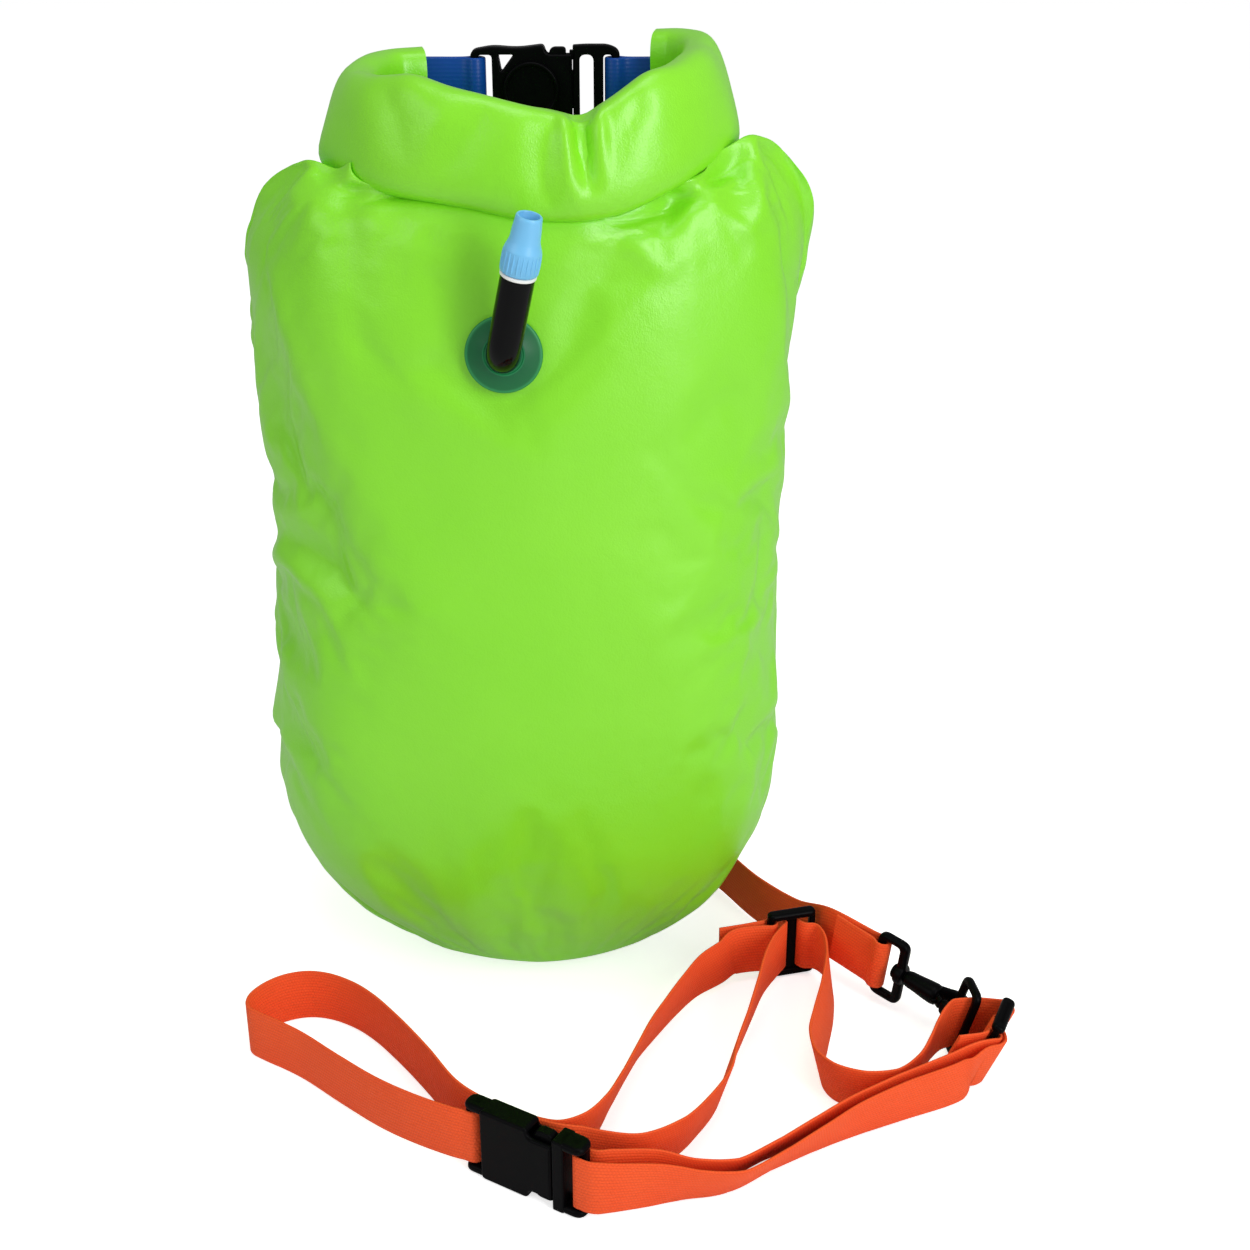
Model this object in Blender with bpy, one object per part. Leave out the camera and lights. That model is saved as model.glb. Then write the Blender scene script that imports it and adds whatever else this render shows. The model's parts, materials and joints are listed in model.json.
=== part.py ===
"""Inflatable swim buoy with a roll-top dry bag, a tether and a waist belt laid out on the floor.

Metres, +Z up. The bag stands upright with its front facing -Y; the origin is in the flat patch it
stands on. Every object is one physical piece of the product.
"""
import math

import bmesh
import bpy
from mathutils import Matrix, Vector

# Clearances that every fit shares
GAP = 0.0003
OVERRUN = 0.002

# Bag: its inflated size, and the coated fabric of its welded panels
BAG_HALF_WIDTH = 0.115
BAG_HALF_DEPTH = 0.077
SHOULDER_HEIGHT = 0.335
SEAM_SETBACK = 0.006
SKIN = 0.001
# Up the bag: height, half width and half depth as shares of the three sizes above, and the
# middle's place to the right as a share of the half width
PROFILE_SHARES = (
    (0.000, 0.30, 0.29, 0.060), (0.012, 0.42, 0.40, 0.050), (0.036, 0.55, 0.54, 0.030),
    (0.080, 0.70, 0.71, 0.005), (0.130, 0.83, 0.84, -0.005), (0.185, 0.935, 0.92, -0.005),
    (0.250, 0.985, 0.97, -0.005), (0.400, 1.000, 1.00, 0.000), (0.530, 0.955, 1.00, 0.010),
    (0.670, 0.930, 0.99, 0.020), (0.780, 0.945, 0.98, 0.025), (0.870, 0.965, 0.97, 0.028),
    (0.950, 0.990, 0.94, 0.032), (1.000, 0.995, 0.90, 0.040),
)
# The flat patch runs in from its edge to the bottom seam: width and depth shares of the first ring
PATCH_SHARES = ((0.72, 0.0), (0.86, 0.5))
PANEL_COLUMNS = 20
TOP_ROWS = 5
DOME_RISE = 0.007
# Powers that shape the shoulders, at the left and the right seam: 1 is a quarter ellipse
SHOULDER_INWARD = (0.95, 1.25)
SHOULDER_UPWARD = (1.00, 0.80)

# Rolled collar: a flattened spiral of doubled fabric, bent into a C with its ends at the back
ROLL_LEVEL = 0.380
ROLL_HALF_HEIGHT = 0.0215
ROLL_HALF_THICKNESS = 0.0105
ROLL_SHEET = 0.0016
ROLL_CLEARANCE = 0.0009
ROLL_PITCH = 0.0033
ROLL_TURNS = 2.25
ROLL_SQUARENESS = 0.6
SPIRAL_POINTS = 20
ROLL_RINGS = 22
# The collar's plan and rise from one buckle end to the other, as shares of BAG_HALF_WIDTH
ROLL_ROUTE_SHARES = (
    (-0.330, 0.28, 0.060), (-0.440, 0.24, 0.055), (-0.515, 0.12, 0.045), (-0.530, -0.05, 0.035),
    (-0.460, -0.22, 0.025), (-0.320, -0.36, 0.005), (-0.110, -0.44, -0.015), (0.110, -0.465, -0.030),
    (0.330, -0.44, -0.010), (0.500, -0.35, 0.040), (0.610, -0.19, 0.085), (0.660, -0.02, 0.110),
    (0.645, 0.15, 0.125), (0.570, 0.25, 0.125), (0.490, 0.28, 0.120),
)
# The stretch of that route, from the left end, where the panels run up into the roll: under it
# in the middle, and up its outer side over the last part toward each seam
PANEL_TOP_SPAN_SHARES = (0.28, 0.73)
SIDE_CLIMB_SHARE = 0.30
SIDE_CLIMB_DEG = 75

# Mouth stiffener in the heart of the roll, and the two tabs that leave it
STIFFENER_WIDTH = 0.0200
STIFFENER_THICKNESS = 0.0016
TAB_WIDTH = 0.025
TAB_THICKNESS = 0.0014

# Seam tapes and dry liner inside the bag
TAPE_HALF_WIDTH_SHARE = 0.045
TAPE_THICKNESS = 0.0008
LINER_THICKNESS = 0.0008
AIR_GAP = 0.013
LINER_COLUMNS = 10

# Closure buckle of the roll, along X behind the roll
CLOSURE_MIDDLE_X = 0.0115
CLOSURE_SPAN = 0.060
CLOSURE_HEIGHT = 0.035
CLOSURE_THICKNESS = 0.0085
DISC_RADIUS = 0.0114
DISC_RECESS_RADIUS = 0.0092
DISC_OFFSET = 0.0057
DISC_PROUD = 0.0016

# Belt webbing and the hardware that is sized for it
WEB_WIDTH = 0.025
WEB_THICKNESS = 0.0013
WEB_STEP = 0.0075
WINDOW_CLEARANCE = 0.002
RAIL = 0.0035
BAR = 0.003
BAR_PITCH = 0.010
GLIDE_THICKNESS = 0.003
SEWN_TAIL = 0.024
HARDWARE_HEIGHT = WEB_WIDTH + WINDOW_CLEARANCE + 2 * RAIL
HARDWARE_MIDDLE = HARDWARE_HEIGHT / 2

# The belt lies on edge on the floor: plan places as shares of LAID_LENGTH
LAID_LENGTH = 0.100
LEFT_GLIDE_SHARES = (1.200, -0.270)
LEFT_GLIDE_TURN = 15
RIGHT_GLIDE_SHARES = (1.985, -0.990)
RIGHT_GLIDE_TURN = 66.4
RIGHT_GLIDE_LEAN = 20
BUCKLE_SHARES = (0.056, -1.702)
BUCKLE_TURN = -31
RING_SHARES = (1.900, -0.865)
RING_TURN = 7
RING_LEAN = 16
# Each free station: x share, y share, lean in degrees to the right of travel, lift share
LEFT_LOOP_SHARES = (
    (0.880, -0.400, -3, 0.6), (0.770, -0.490, -7, 0.3), (0.680, -0.620, -11, 0.1), (0.580, -0.800, -15, 0),
    (0.520, -0.920, -17, 0), (0.460, -1.080, -18, 0), (0.400, -1.250, -18, 0), (0.340, -1.410, -15, 0),
    (0.270, -1.530, -9, 0), (0.180, -1.585, -4, 0), (0.080, -1.570, 0, 0), (-0.020, -1.520, 0, 0),
    (-0.140, -1.450, 0, 0), (-0.250, -1.350, 0, 0), (-0.380, -1.150, 0, 0), (-0.470, -1.020, 0, 0),
    (-0.560, -0.900, 0, 0), (-0.660, -0.780, 0, 0), (-0.760, -0.690, 0, 0), (-0.880, -0.625, 0, 0),
    (-0.980, -0.610, 0, 0), (-1.080, -0.640, 0, 0), (-1.160, -0.710, 0, 0), (-1.200, -0.790, 0, 0),
    (-1.190, -0.860, 0, 0), (-1.120, -0.915, 0, 0), (-1.030, -0.970, 0, 0), (-0.930, -1.040, 0, 0),
    (-0.750, -1.200, 0, 0.1), (-0.570, -1.360, 0, 0.4), (-0.410, -1.480, 0, 0.8),
)
RETURN_SHARES = (
    (0.280, -1.665, 4, 0.7), (0.490, -1.670, 10, 0.4), (0.650, -1.560, 15, 0.2),
    (0.760, -1.405, 16, 0), (0.840, -1.255, 16, 0), (0.885, -1.070, 14, 0), (0.945, -0.880, 12, 0.1),
    (1.010, -0.670, 8, 0.4), (1.065, -0.500, 4, 0.8),
)
CENTRE_SHARES = (
    (1.345, -0.360, 4, 0.9), (1.360, -0.480, 8, 0.6), (1.335, -0.660, 12, 0.3),
    (1.285, -0.860, 14, 0.1), (1.250, -1.010, 14, 0), (1.260, -1.130, 14, 0), (1.320, -1.215, 14, 0),
    (1.430, -1.260, 14, 0), (1.550, -1.245, 14, 0), (1.645, -1.160, 14, 0.2), (1.705, -1.065, 12, 0.5),
    (1.755, -0.978, 9, 0.8), (1.808, -0.906, 5, 1),
)
FRONT_SHARES = (
    (1.845, -1.225, -8, 0.6), (1.570, -1.345, -12, 0.2), (1.370, -1.442, -18, 0),
    (1.210, -1.545, -26, 0), (1.050, -1.655, -32, 0), (0.870, -1.780, -33, 0),
    (0.690, -1.815, -24, 0.1), (0.560, -1.845, -12, 0.5),
)
REAR_SHARES = (
    (0.555, -1.765, 12, 0.5), (0.685, -1.750, 24, 0.1), (0.850, -1.712, 33, 0), (1.020, -1.600, 32, 0),
    (1.180, -1.495, 26, 0), (1.345, -1.396, 18, 0), (1.545, -1.298, 14, 0.3), (1.790, -1.188, 16, 1.0),
)

# Side-release buckle of the belt, in its own frame: u along the strap, from its middle
BUCKLE_HALF_LENGTH = 0.028
BUCKLE_HALF_THICKNESS = 0.005
BUCKLE_FRAME_HALF_THICKNESS = 0.002
BUCKLE_BAR = 0.0035
BUCKLE_SLOT = 0.005
BUCKLE_SPLIT_SHARE = 0.5
BUCKLE_WALL = 0.0017
PRONG_WIDTH = 0.003
PRONG_LENGTH = 0.0145
PRONG_OFFSET = 0.0095
PAD_LENGTH = 0.009
PAD_DEPTH = 0.0042
PRONG_CLEARANCE = 0.0008

# Ring on the strap, and the snap hook that holds its back bar
RING_BAR = 0.0036
RING_STRAP_CLEARANCE = 0.0014
RING_DEPTH = 0.0108
RING_REACH_SHARE = 0.62
BOW_RADIUS = 0.0064
BOW_SECTION = 0.0018
BARREL_RADIUS = 0.0036
BARREL_START = 0.0078
BARREL_END = 0.0245
POST_RADIUS = 0.0020
POST_CLEARANCE = 0.0003
HEAD_RADIUS = 0.0033
HEAD_LENGTH = 0.0014
GATE_SECTION = 0.0013
HOOK_TURN = 139
HOOK_PITCH = 7
GATE_START_DEG = 28

# Swivel eye for the tether
EYE_COLLAR = 0.0043
EYE_WINDOW = 0.0081
EYE_BAR = 0.0036
EYE_THICKNESS = 0.0044

# Tether: its whole length lies in a loose loop behind the bag; plan points in metres
TETHER_PATCH_HEIGHT = 0.050
TETHER_PATCH_X = -0.012
TETHER_PATCH_HALF_WIDTH = 0.022
TETHER_PATCH_HALF_HEIGHT = 0.018
PATCH_THICKNESS = 0.0010
PATCH_CLEARANCE = 0.0008
TETHER_ROUTE = (
    (-0.044, 0.0850, 0.0420), (-0.064, 0.0900, 0.0310), (-0.084, 0.0990, 0.0180),
    (-0.088, 0.1170, 0.0130), (-0.070, 0.1300, 0.0128), (-0.036, 0.1320, 0.0128),
    (0.006, 0.1240, 0.0128), (0.044, 0.1040, 0.0130), (0.072, 0.0720, 0.0132),
    (0.092, 0.0400, 0.0136), (0.108, 0.0120, 0.0142), (0.127, -0.0120, 0.0160),
)

# Inflation valve on the front panel
VALVE_X = -0.0017
VALVE_DROP = 0.026
FLANGE_RADIUS = 0.0147
FLANGE_THICKNESS = 0.0012
NECK_RADIUS = 0.0050
NECK_DEPTH = 0.0045
TUBE_RADIUS = 0.0064
TUBE_BORE = 0.0038
TUBE_STAND_OFF = 0.0015
TUBE_BEND = 0.0078
TUBE_STRAIGHT = 0.0255
TUBE_LEAN_RIGHT = 12
TUBE_LEAN_OUT = 9
COLLAR_RADIUS = 0.0067
COLLAR_LENGTH = 0.0014
MOUTH_BASE_RADIUS = 0.0070
MOUTH_TIP_RADIUS = 0.0049
MOUTH_LENGTH = 0.0215
MOUTH_BASE_SHARE = 0.42
POPPET_CLEARANCE = 0.0004
POPPET_HEAD = 0.0024
POPPET_STEM_RADIUS = 0.0011
POPPET_STEM = 0.014
POPPET_DEPTH = 0.004

# Colour, roughness and metallic value of each material
FINISHES = {
    "bag_green": ((0.270, 0.785, 0.050), 0.38, 0.0),
    "liner_grey": ((0.55, 0.57, 0.58), 0.60, 0.0),
    "webbing_orange": ((0.905, 0.120, 0.020), 0.85, 0.0),
    "tab_blue": ((0.004, 0.075, 0.385), 0.35, 0.0),
    "black_plastic": ((0.006, 0.006, 0.008), 0.35, 0.0),
    "tube_black": ((0.004, 0.004, 0.005), 0.12, 0.0),
    "valve_green": ((0.004, 0.190, 0.075), 0.30, 0.0),
    "mouthpiece_blue": ((0.190, 0.545, 0.870), 0.45, 0.0),
    "valve_white": ((0.800, 0.820, 0.830), 0.40, 0.0),
}

UP = Vector((0, 0, 1))


def clear_scene():
    for old in list(bpy.data.objects):
        bpy.data.objects.remove(old, do_unlink=True)


def finish(name):
    """The Principled material of that name, made once."""
    known = bpy.data.materials.get(name)
    if known:
        return known
    colour, roughness, metallic = FINISHES[name]
    made = bpy.data.materials.new(name)
    made.use_nodes = True
    shader = made.node_tree.nodes["Principled BSDF"]
    shader.inputs["Base Color"].default_value = (*colour, 1)
    shader.inputs["Roughness"].default_value = roughness
    shader.inputs["Metallic"].default_value = metallic
    return made


def add_object(name, bm, material, smooth_angle=40):
    """Turns a bmesh into a named object with its faces pointing out."""
    bmesh.ops.recalc_face_normals(bm, faces=bm.faces)
    if bm.calc_volume(signed=True) < 0:
        bmesh.ops.reverse_faces(bm, faces=bm.faces)
    mesh = bpy.data.meshes.new(name)
    bm.to_mesh(mesh)
    bm.free()
    mesh.shade_smooth()
    mesh.set_sharp_from_angle(angle=math.radians(smooth_angle))
    made = bpy.data.objects.new(name, mesh)
    bpy.context.scene.collection.objects.link(made)
    if material:
        mesh.materials.append(finish(material))
    return made


def set_origin(made, place):
    """Moves an object's origin to its joint's axis and leaves its shape where it is."""
    made.data.transform(Matrix.Translation(-place))
    made.location = place


def hang_on(name, place, pieces):
    """Parents pieces that turn together to an empty on their joint's axis."""
    pivot = bpy.data.objects.new(name, None)
    pivot.location = place
    bpy.context.scene.collection.objects.link(pivot)
    bpy.context.view_layer.update()
    for piece in pieces:
        piece.parent = pivot
        piece.matrix_parent_inverse = pivot.matrix_world.inverted()


def box(name, low, high, frame, material=None):
    """A box between two corners of a frame."""
    bm = bmesh.new()
    size = [b - a for a, b in zip(low, high)]
    middle = [(a + b) / 2 for a, b in zip(low, high)]
    bmesh.ops.create_cube(bm, size=1, matrix=Matrix.Translation(middle) @ Matrix.Diagonal((*size, 1)))
    bm.transform(frame)
    return add_object(name, bm, material)


def turned(name, profile, frame, sides, material=None):
    """A solid of revolution about the frame's Z axis, from (radius, height) points."""
    bm = bmesh.new()
    rings = []
    for step in range(sides):
        angle = 2 * math.pi * step / sides
        ring = [frame @ Vector((r * math.cos(angle), r * math.sin(angle), h)) for r, h in profile]
        rings.append([bm.verts.new(point) for point in ring])
    count = len(profile)
    for step in range(sides):
        here, after = rings[step], rings[(step + 1) % sides]
        for i in range(count):
            j = (i + 1) % count
            if profile[i][0] or profile[j][0]:
                bm.faces.new((here[i], here[j], after[j], after[i]))
    bmesh.ops.remove_doubles(bm, verts=bm.verts, dist=GAP / 10)
    return add_object(name, bm, material)


def loft(name, rings, material):
    """A closed solid through rings of points, capped at both ends."""
    bm = bmesh.new()
    made = [[bm.verts.new(point) for point in ring] for ring in rings]
    for here, after in zip(made, made[1:]):
        for i in range(len(here)):
            j = (i + 1) % len(here)
            bm.faces.new((here[i], here[j], after[j], after[i]))
    bm.faces.new(made[0])
    bm.faces.new(made[-1])
    return add_object(name, bm, material)


def plate(name, outer, inner, material):
    """A closed sheet between two grids of points of the same size."""
    bm = bmesh.new()
    top = [[bm.verts.new(point) for point in row] for row in outer]
    under = [[bm.verts.new(point) for point in row] for row in inner]
    rows, columns = len(outer), len(outer[0])
    for r in range(rows - 1):
        for c in range(columns - 1):
            bm.faces.new((top[r][c], top[r][c + 1], top[r + 1][c + 1], top[r + 1][c]))
            bm.faces.new((under[r][c], under[r + 1][c], under[r + 1][c + 1], under[r][c + 1]))
    for r in (0, rows - 1):
        for c in range(columns - 1):
            bm.faces.new((top[r][c], under[r][c], under[r][c + 1], top[r][c + 1]))
    for c in (0, columns - 1):
        for r in range(rows - 1):
            bm.faces.new((top[r][c], top[r + 1][c], under[r + 1][c], under[r][c]))
    return add_object(name, bm, material, smooth_angle=50)


def combine(target, other, operation):
    """Cuts with, or joins, another object, which then stays as a hidden guide."""
    change = target.modifiers.new(other.name, "BOOLEAN")
    change.operation = operation
    change.solver = "EXACT"
    change.object = other
    other.hide_render = True
    other.display_type = "WIRE"


def cut_box(target, low, high, frame):
    combine(target, box(target.name + "_cut", low, high, frame), "DIFFERENCE")


def round_edges(target, width, segments=2):
    bevel = target.modifiers.new("rounding", "BEVEL")
    bevel.width = width
    bevel.segments = segments
    bevel.limit_method = "ANGLE"
    bevel.angle_limit = math.radians(40)


def plan_frame(middle, turn, lean=0, about="u"):
    """Axes u along the turn in plan, n to its left and w up, leaned about u or about n."""
    base = Matrix.Translation(middle) @ Matrix.Rotation(math.radians(turn), 4, "Z")
    return base @ Matrix.Rotation(math.radians(lean), 4, "X" if about == "u" else "Y")


def smooth(points, step):
    """Centripetal Catmull-Rom curve through vectors, about one point per step."""
    ends = [2 * points[0] - points[1]] + list(points) + [2 * points[-1] - points[-2]]
    curve = [points[0]]
    for i in range(1, len(ends) - 2):
        p0, p1, p2, p3 = ends[i - 1:i + 3]
        t1 = (p1 - p0).length ** 0.5
        t2 = t1 + (p2 - p1).length ** 0.5
        t3 = t2 + (p3 - p2).length ** 0.5
        count = max(1, math.ceil((p2 - p1).length / step))
        for k in range(1, count + 1):
            t = t1 + (t2 - t1) * k / count
            a1 = p0 * ((t1 - t) / t1) + p1 * (t / t1)
            a2 = p1 * ((t2 - t) / (t2 - t1)) + p2 * ((t - t1) / (t2 - t1))
            a3 = p2 * ((t3 - t) / (t3 - t2)) + p3 * ((t - t2) / (t3 - t2))
            b1 = a1 * ((t2 - t) / t2) + a2 * (t / t2)
            b2 = a2 * ((t3 - t) / (t3 - t1)) + a3 * ((t - t1) / (t3 - t1))
            curve.append(b1 * ((t2 - t) / (t2 - t1)) + b2 * ((t - t1) / (t2 - t1)))
    return curve


def tangent_at(points, i):
    return (points[min(i + 1, len(points) - 1)] - points[max(i - 1, 0)]).normalized()


def sweep(name, points, radius, bore, sides, material):
    """A round bar, or a pipe with a bore, along a list of points."""
    across = tangent_at(points, 0).orthogonal().normalized()
    outer, inner = [], []
    for i, point in enumerate(points):
        along = tangent_at(points, i)
        across = (across - along * across.dot(along)).normalized()
        other = along.cross(across)
        spokes = [across * math.cos(2 * math.pi * k / sides) + other * math.sin(2 * math.pi * k / sides)
                  for k in range(sides)]
        outer.append([point + spoke * radius for spoke in spokes])
        inner.append([point + spoke * bore for spoke in spokes])
    if not bore:
        return loft(name, outer, material)
    bm = bmesh.new()
    walls = [[[bm.verts.new(p) for p in ring] for ring in wall] for wall in (outer, inner)]
    for wall in walls:
        for here, after in zip(wall, wall[1:]):
            for k in range(sides):
                j = (k + 1) % sides
                bm.faces.new((here[k], here[j], after[j], after[k]))
    for end in (0, -1):
        for k in range(sides):
            j = (k + 1) % sides
            bm.faces.new((walls[0][end][k], walls[0][end][j], walls[1][end][j], walls[1][end][k]))
    return add_object(name, bm, material)


# The bag's outer surface


def body_at(height):
    """Half width, half depth and sideways place of the bag at a height, read from the profile."""
    share = min(max(height / SHOULDER_HEIGHT, 0), 1)
    i = 1
    while share > PROFILE_SHARES[i][0]:
        i += 1
    low, high = PROFILE_SHARES[i - 1], PROFILE_SHARES[i]
    t = (share - low[0]) / (high[0] - low[0])
    wide, deep, aside = (a + (b - a) * t for a, b in zip(low[1:], high[1:]))
    return BAG_HALF_WIDTH * wide, BAG_HALF_DEPTH * deep, BAG_HALF_WIDTH * aside


def body_point(x, side, height):
    """Point of the front (side -1) or back (side 1) of the bag at an X and a height."""
    half_width, half_depth, middle = body_at(height)
    across = (x - middle) / half_width
    return Vector((x, SEAM_SETBACK + side * half_depth * math.sqrt(1 - across ** 2), height))


def ring_point(u, side, sizes, height, wide=1, deep=1):
    """Point of one panel's half ring, from the left seam at u 0 to the right seam at u 1."""
    half_width, half_depth, middle = sizes
    return Vector((middle - wide * half_width * math.cos(math.pi * u),
                   SEAM_SETBACK + side * deep * half_depth * math.sin(math.pi * u), height))


def roll_route():
    points = [Vector((x * BAG_HALF_WIDTH, y * BAG_HALF_WIDTH, ROLL_LEVEL + z * BAG_HALF_WIDTH))
              for x, y, z in ROLL_ROUTE_SHARES]
    return smooth(points, BAG_HALF_WIDTH / 40)


def along_route(route, share):
    """Point and horizontal normal, away from the C's inside, at a share of a route's length."""
    lengths = [0]
    for a, b in zip(route, route[1:]):
        lengths.append(lengths[-1] + (b - a).length)
    wanted = lengths[-1] * share
    i = 1
    while i < len(route) - 1 and lengths[i] < wanted:
        i += 1
    t = (wanted - lengths[i - 1]) / (lengths[i] - lengths[i - 1])
    along = route[i] - route[i - 1]
    out = Vector((along.y, -along.x, 0)).normalized()
    return route[i - 1] + along * t, out


def panel_top(u, side, route):
    """Where the panel meets the roll: its underside, and near the seams its outer side."""
    eased = u * u * (3 - 2 * u)
    low, high = PANEL_TOP_SPAN_SHARES
    point, out = along_route(route, low + (high - low) * eased)
    climb = max(0, (abs(2 * u - 1) - 1 + SIDE_CLIMB_SHARE) / SIDE_CLIMB_SHARE)
    angle = math.radians(SIDE_CLIMB_DEG * climb)
    across = (ROLL_HALF_THICKNESS + ROLL_CLEARANCE) * math.sin(angle) ** ROLL_SQUARENESS
    under = (ROLL_HALF_HEIGHT + ROLL_CLEARANCE) * math.cos(angle) ** ROLL_SQUARENESS
    return point + out * across - UP * under - out * side * GAP


def panel_grid(side, route):
    """Outer points of one panel, from the bottom seam up to the roll."""
    columns = [c / PANEL_COLUMNS for c in range(PANEL_COLUMNS + 1)]
    foot = body_at(0)
    rows = [[ring_point(u, side, foot, 0, wide, deep) for u in columns] for wide, deep in PATCH_SHARES]
    for share, *_ in PROFILE_SHARES:
        height = SHOULDER_HEIGHT * share
        rows.append([ring_point(u, side, body_at(height), height) for u in columns])
    shoulder = rows[-1]
    for k in range(1, TOP_ROWS + 1):
        w = k / TOP_ROWS
        row = []
        for u, start in zip(columns, shoulder):
            end = panel_top(u, side, route)
            inward, upward = (a + (b - a) * u for a, b in (SHOULDER_INWARD, SHOULDER_UPWARD))
            point = start.lerp(end, (1 - math.cos(w * math.pi / 2)) ** inward)
            rise = DOME_RISE * math.sin(math.pi * w) * math.sin(math.pi * u) * (side > 0)
            point.z = start.z + (end.z - start.z) * math.sin(w * math.pi / 2) ** upward + rise
            row.append(point)
        rows.append(row)
    return rows


def grid_normals(rows, side):
    """Outward normals of a panel's grid, from its neighbours' places."""
    found = []
    for r in range(len(rows)):
        line = []
        for c in range(len(rows[0])):
            if r < len(PATCH_SHARES):
                line.append(-UP)
                continue
            up = rows[min(r + 1, len(rows) - 1)][c] - rows[max(r - 1, 0)][c]
            along = rows[r][min(c + 1, PANEL_COLUMNS)] - rows[r][max(c - 1, 0)]
            line.append((along.cross(up) * -side).normalized())
        found.append(line)
    return found


def bag_surface():
    """Both panels' outer points and normals; the two share one normal along the seam and the roll."""
    route = roll_route()
    grids = {side: panel_grid(side, route) for side in (-1, 1)}
    normals = {side: grid_normals(grids[side], side) for side in (-1, 1)}
    last = len(grids[1]) - 1
    for r in range(last + 1):
        for c in (range(PANEL_COLUMNS + 1) if r == last else (0, PANEL_COLUMNS)):
            shared = (normals[-1][r][c] + normals[1][r][c]).normalized()
            normals[-1][r][c] = shared
            normals[1][r][c] = shared
    return grids, normals


def offset_grid(grids, normals, side, depth, rows, columns=PANEL_COLUMNS):
    """Points a depth under one panel's surface, clear of the other panel by half a gap each."""
    grid, normal = grids[side], normals[side]
    step = PANEL_COLUMNS // columns
    made = []
    for r in rows:
        line = []
        for c in range(0, PANEL_COLUMNS + 1, step):
            point = grid[r][c] - normal[r][c] * depth[r]
            on_seam = c in (0, PANEL_COLUMNS) or r == 0
            at_roll = r == len(grid) - 1
            if on_seam and not at_roll:
                inward = grid[r + (r == 0)][c + (c == 0) - (c == PANEL_COLUMNS)] - grid[r][c]
                along = grid[r + 1][c] - grid[r - 1][c] if r else Vector((1, 0, 0))
                away = inward - along * (inward.dot(along) / along.dot(along))
                away -= normal[r][c] * away.dot(normal[r][c])
                point = point + away.normalized() * GAP / 2
            line.append(point)
        made.append(line)
    return made


def build_bag():
    grids, normals = bag_surface()
    count = len(grids[1])
    every = range(count)
    zero = [0] * count
    skin = [SKIN] * count
    panels = {}
    for side, name in ((-1, "front_panel"), (1, "back_panel")):
        outer = offset_grid(grids, normals, side, zero, every)
        inner = offset_grid(grids, normals, side, skin, every)
        panels[side] = plate(name, outer, inner, "bag_green")
    build_liner(grids, normals, count)
    build_tapes(grids, normals, count)
    return panels


def build_liner(grids, normals, count):
    """Dry liner: welded to the skin at its rim, held off by the air chamber below it."""
    weld = SKIN + GAP
    top = count - TOP_ROWS
    depths = [weld + AIR_GAP] * count
    depths[top - 2] = weld + AIR_GAP * 0.55
    depths[top - 1] = weld
    depths[top] = weld
    inner = [depth + LINER_THICKNESS for depth in depths]
    rows = range(0, top + 1)
    for side, name in ((-1, "dry_liner_front"), (1, "dry_liner_back")):
        plate(name, offset_grid(grids, normals, side, depths, rows, LINER_COLUMNS),
              offset_grid(grids, normals, side, inner, rows, LINER_COLUMNS), "liner_grey")


def build_tapes(grids, normals, count):
    """Welded tape inside each side seam, following the skin on both panels."""
    start, stop = len(PATCH_SHARES) + 2, count - TOP_ROWS - 3
    for name, column, step in (("seam_tape_left", 0, 1), ("seam_tape_right", PANEL_COLUMNS, -1)):
        outer, inner = [], []
        for r in range(start, stop):
            seam = grids[1][r][column]
            normal = normals[1][r][column]
            ends = []
            for side in (-1, 1):
                t = TAPE_HALF_WIDTH_SHARE * PANEL_COLUMNS
                place = seam.lerp(grids[side][r][column + step], t)
                tilt = normals[side][r][column].lerp(normals[side][r][column + step], t).normalized()
                ends.append((place, tilt))
            line = [ends[0], (seam, normal), ends[1]]
            outer.append([p - n * (SKIN + GAP) for p, n in line])
            inner.append([p - n * (SKIN + GAP + TAPE_THICKNESS) for p, n in line])
        plate(name, outer, inner, "bag_green")


def spiral_section():
    """Closed outline of the rolled sheet: the outer face inwards, then the inner face back out."""
    outer, inner = [], []
    for k in range(SPIRAL_POINTS + 1):
        turn = ROLL_TURNS * k / SPIRAL_POINTS
        angle = 2 * math.pi * turn - math.pi / 2
        across, up = math.cos(angle), math.sin(angle)
        across = math.copysign(abs(across) ** ROLL_SQUARENESS, across)
        up = math.copysign(abs(up) ** ROLL_SQUARENESS, up)
        for line, shift in ((outer, 0), (inner, ROLL_SHEET)):
            thin = ROLL_HALF_THICKNESS - ROLL_PITCH * turn - shift
            tall = ROLL_HALF_HEIGHT - ROLL_PITCH * turn - shift
            line.append((thin * across, tall * up))
    return outer + inner[::-1]


def swept_along(route, section, start=0, stop=1, rings=ROLL_RINGS):
    """Rings of a flat section, given as (outward, up) points, carried along the collar's route."""
    made = []
    for k in range(rings + 1):
        point, out = along_route(route, start + (stop - start) * k / rings)
        made.append([point + out * x + UP * z for x, z in section])
    return made


def build_roll():
    route = roll_route()
    loft("roll_top", swept_along(route, spiral_section()), "bag_green")
    x, z = STIFFENER_THICKNESS / 2, STIFFENER_WIDTH / 2
    strip = [(-x, -z), (x, -z), (x, z), (-x, z)]
    loft("mouth_stiffener", swept_along(route, strip), "black_plastic")


def closure_frame():
    """Frame of the closure buckle: between the roll's two ends, along X."""
    route = roll_route()
    height = (route[0].z + route[-1].z) / 2
    depth = (route[0].y + route[-1].y) / 2
    return Matrix.Translation((CLOSURE_MIDDLE_X, depth, height))


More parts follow.
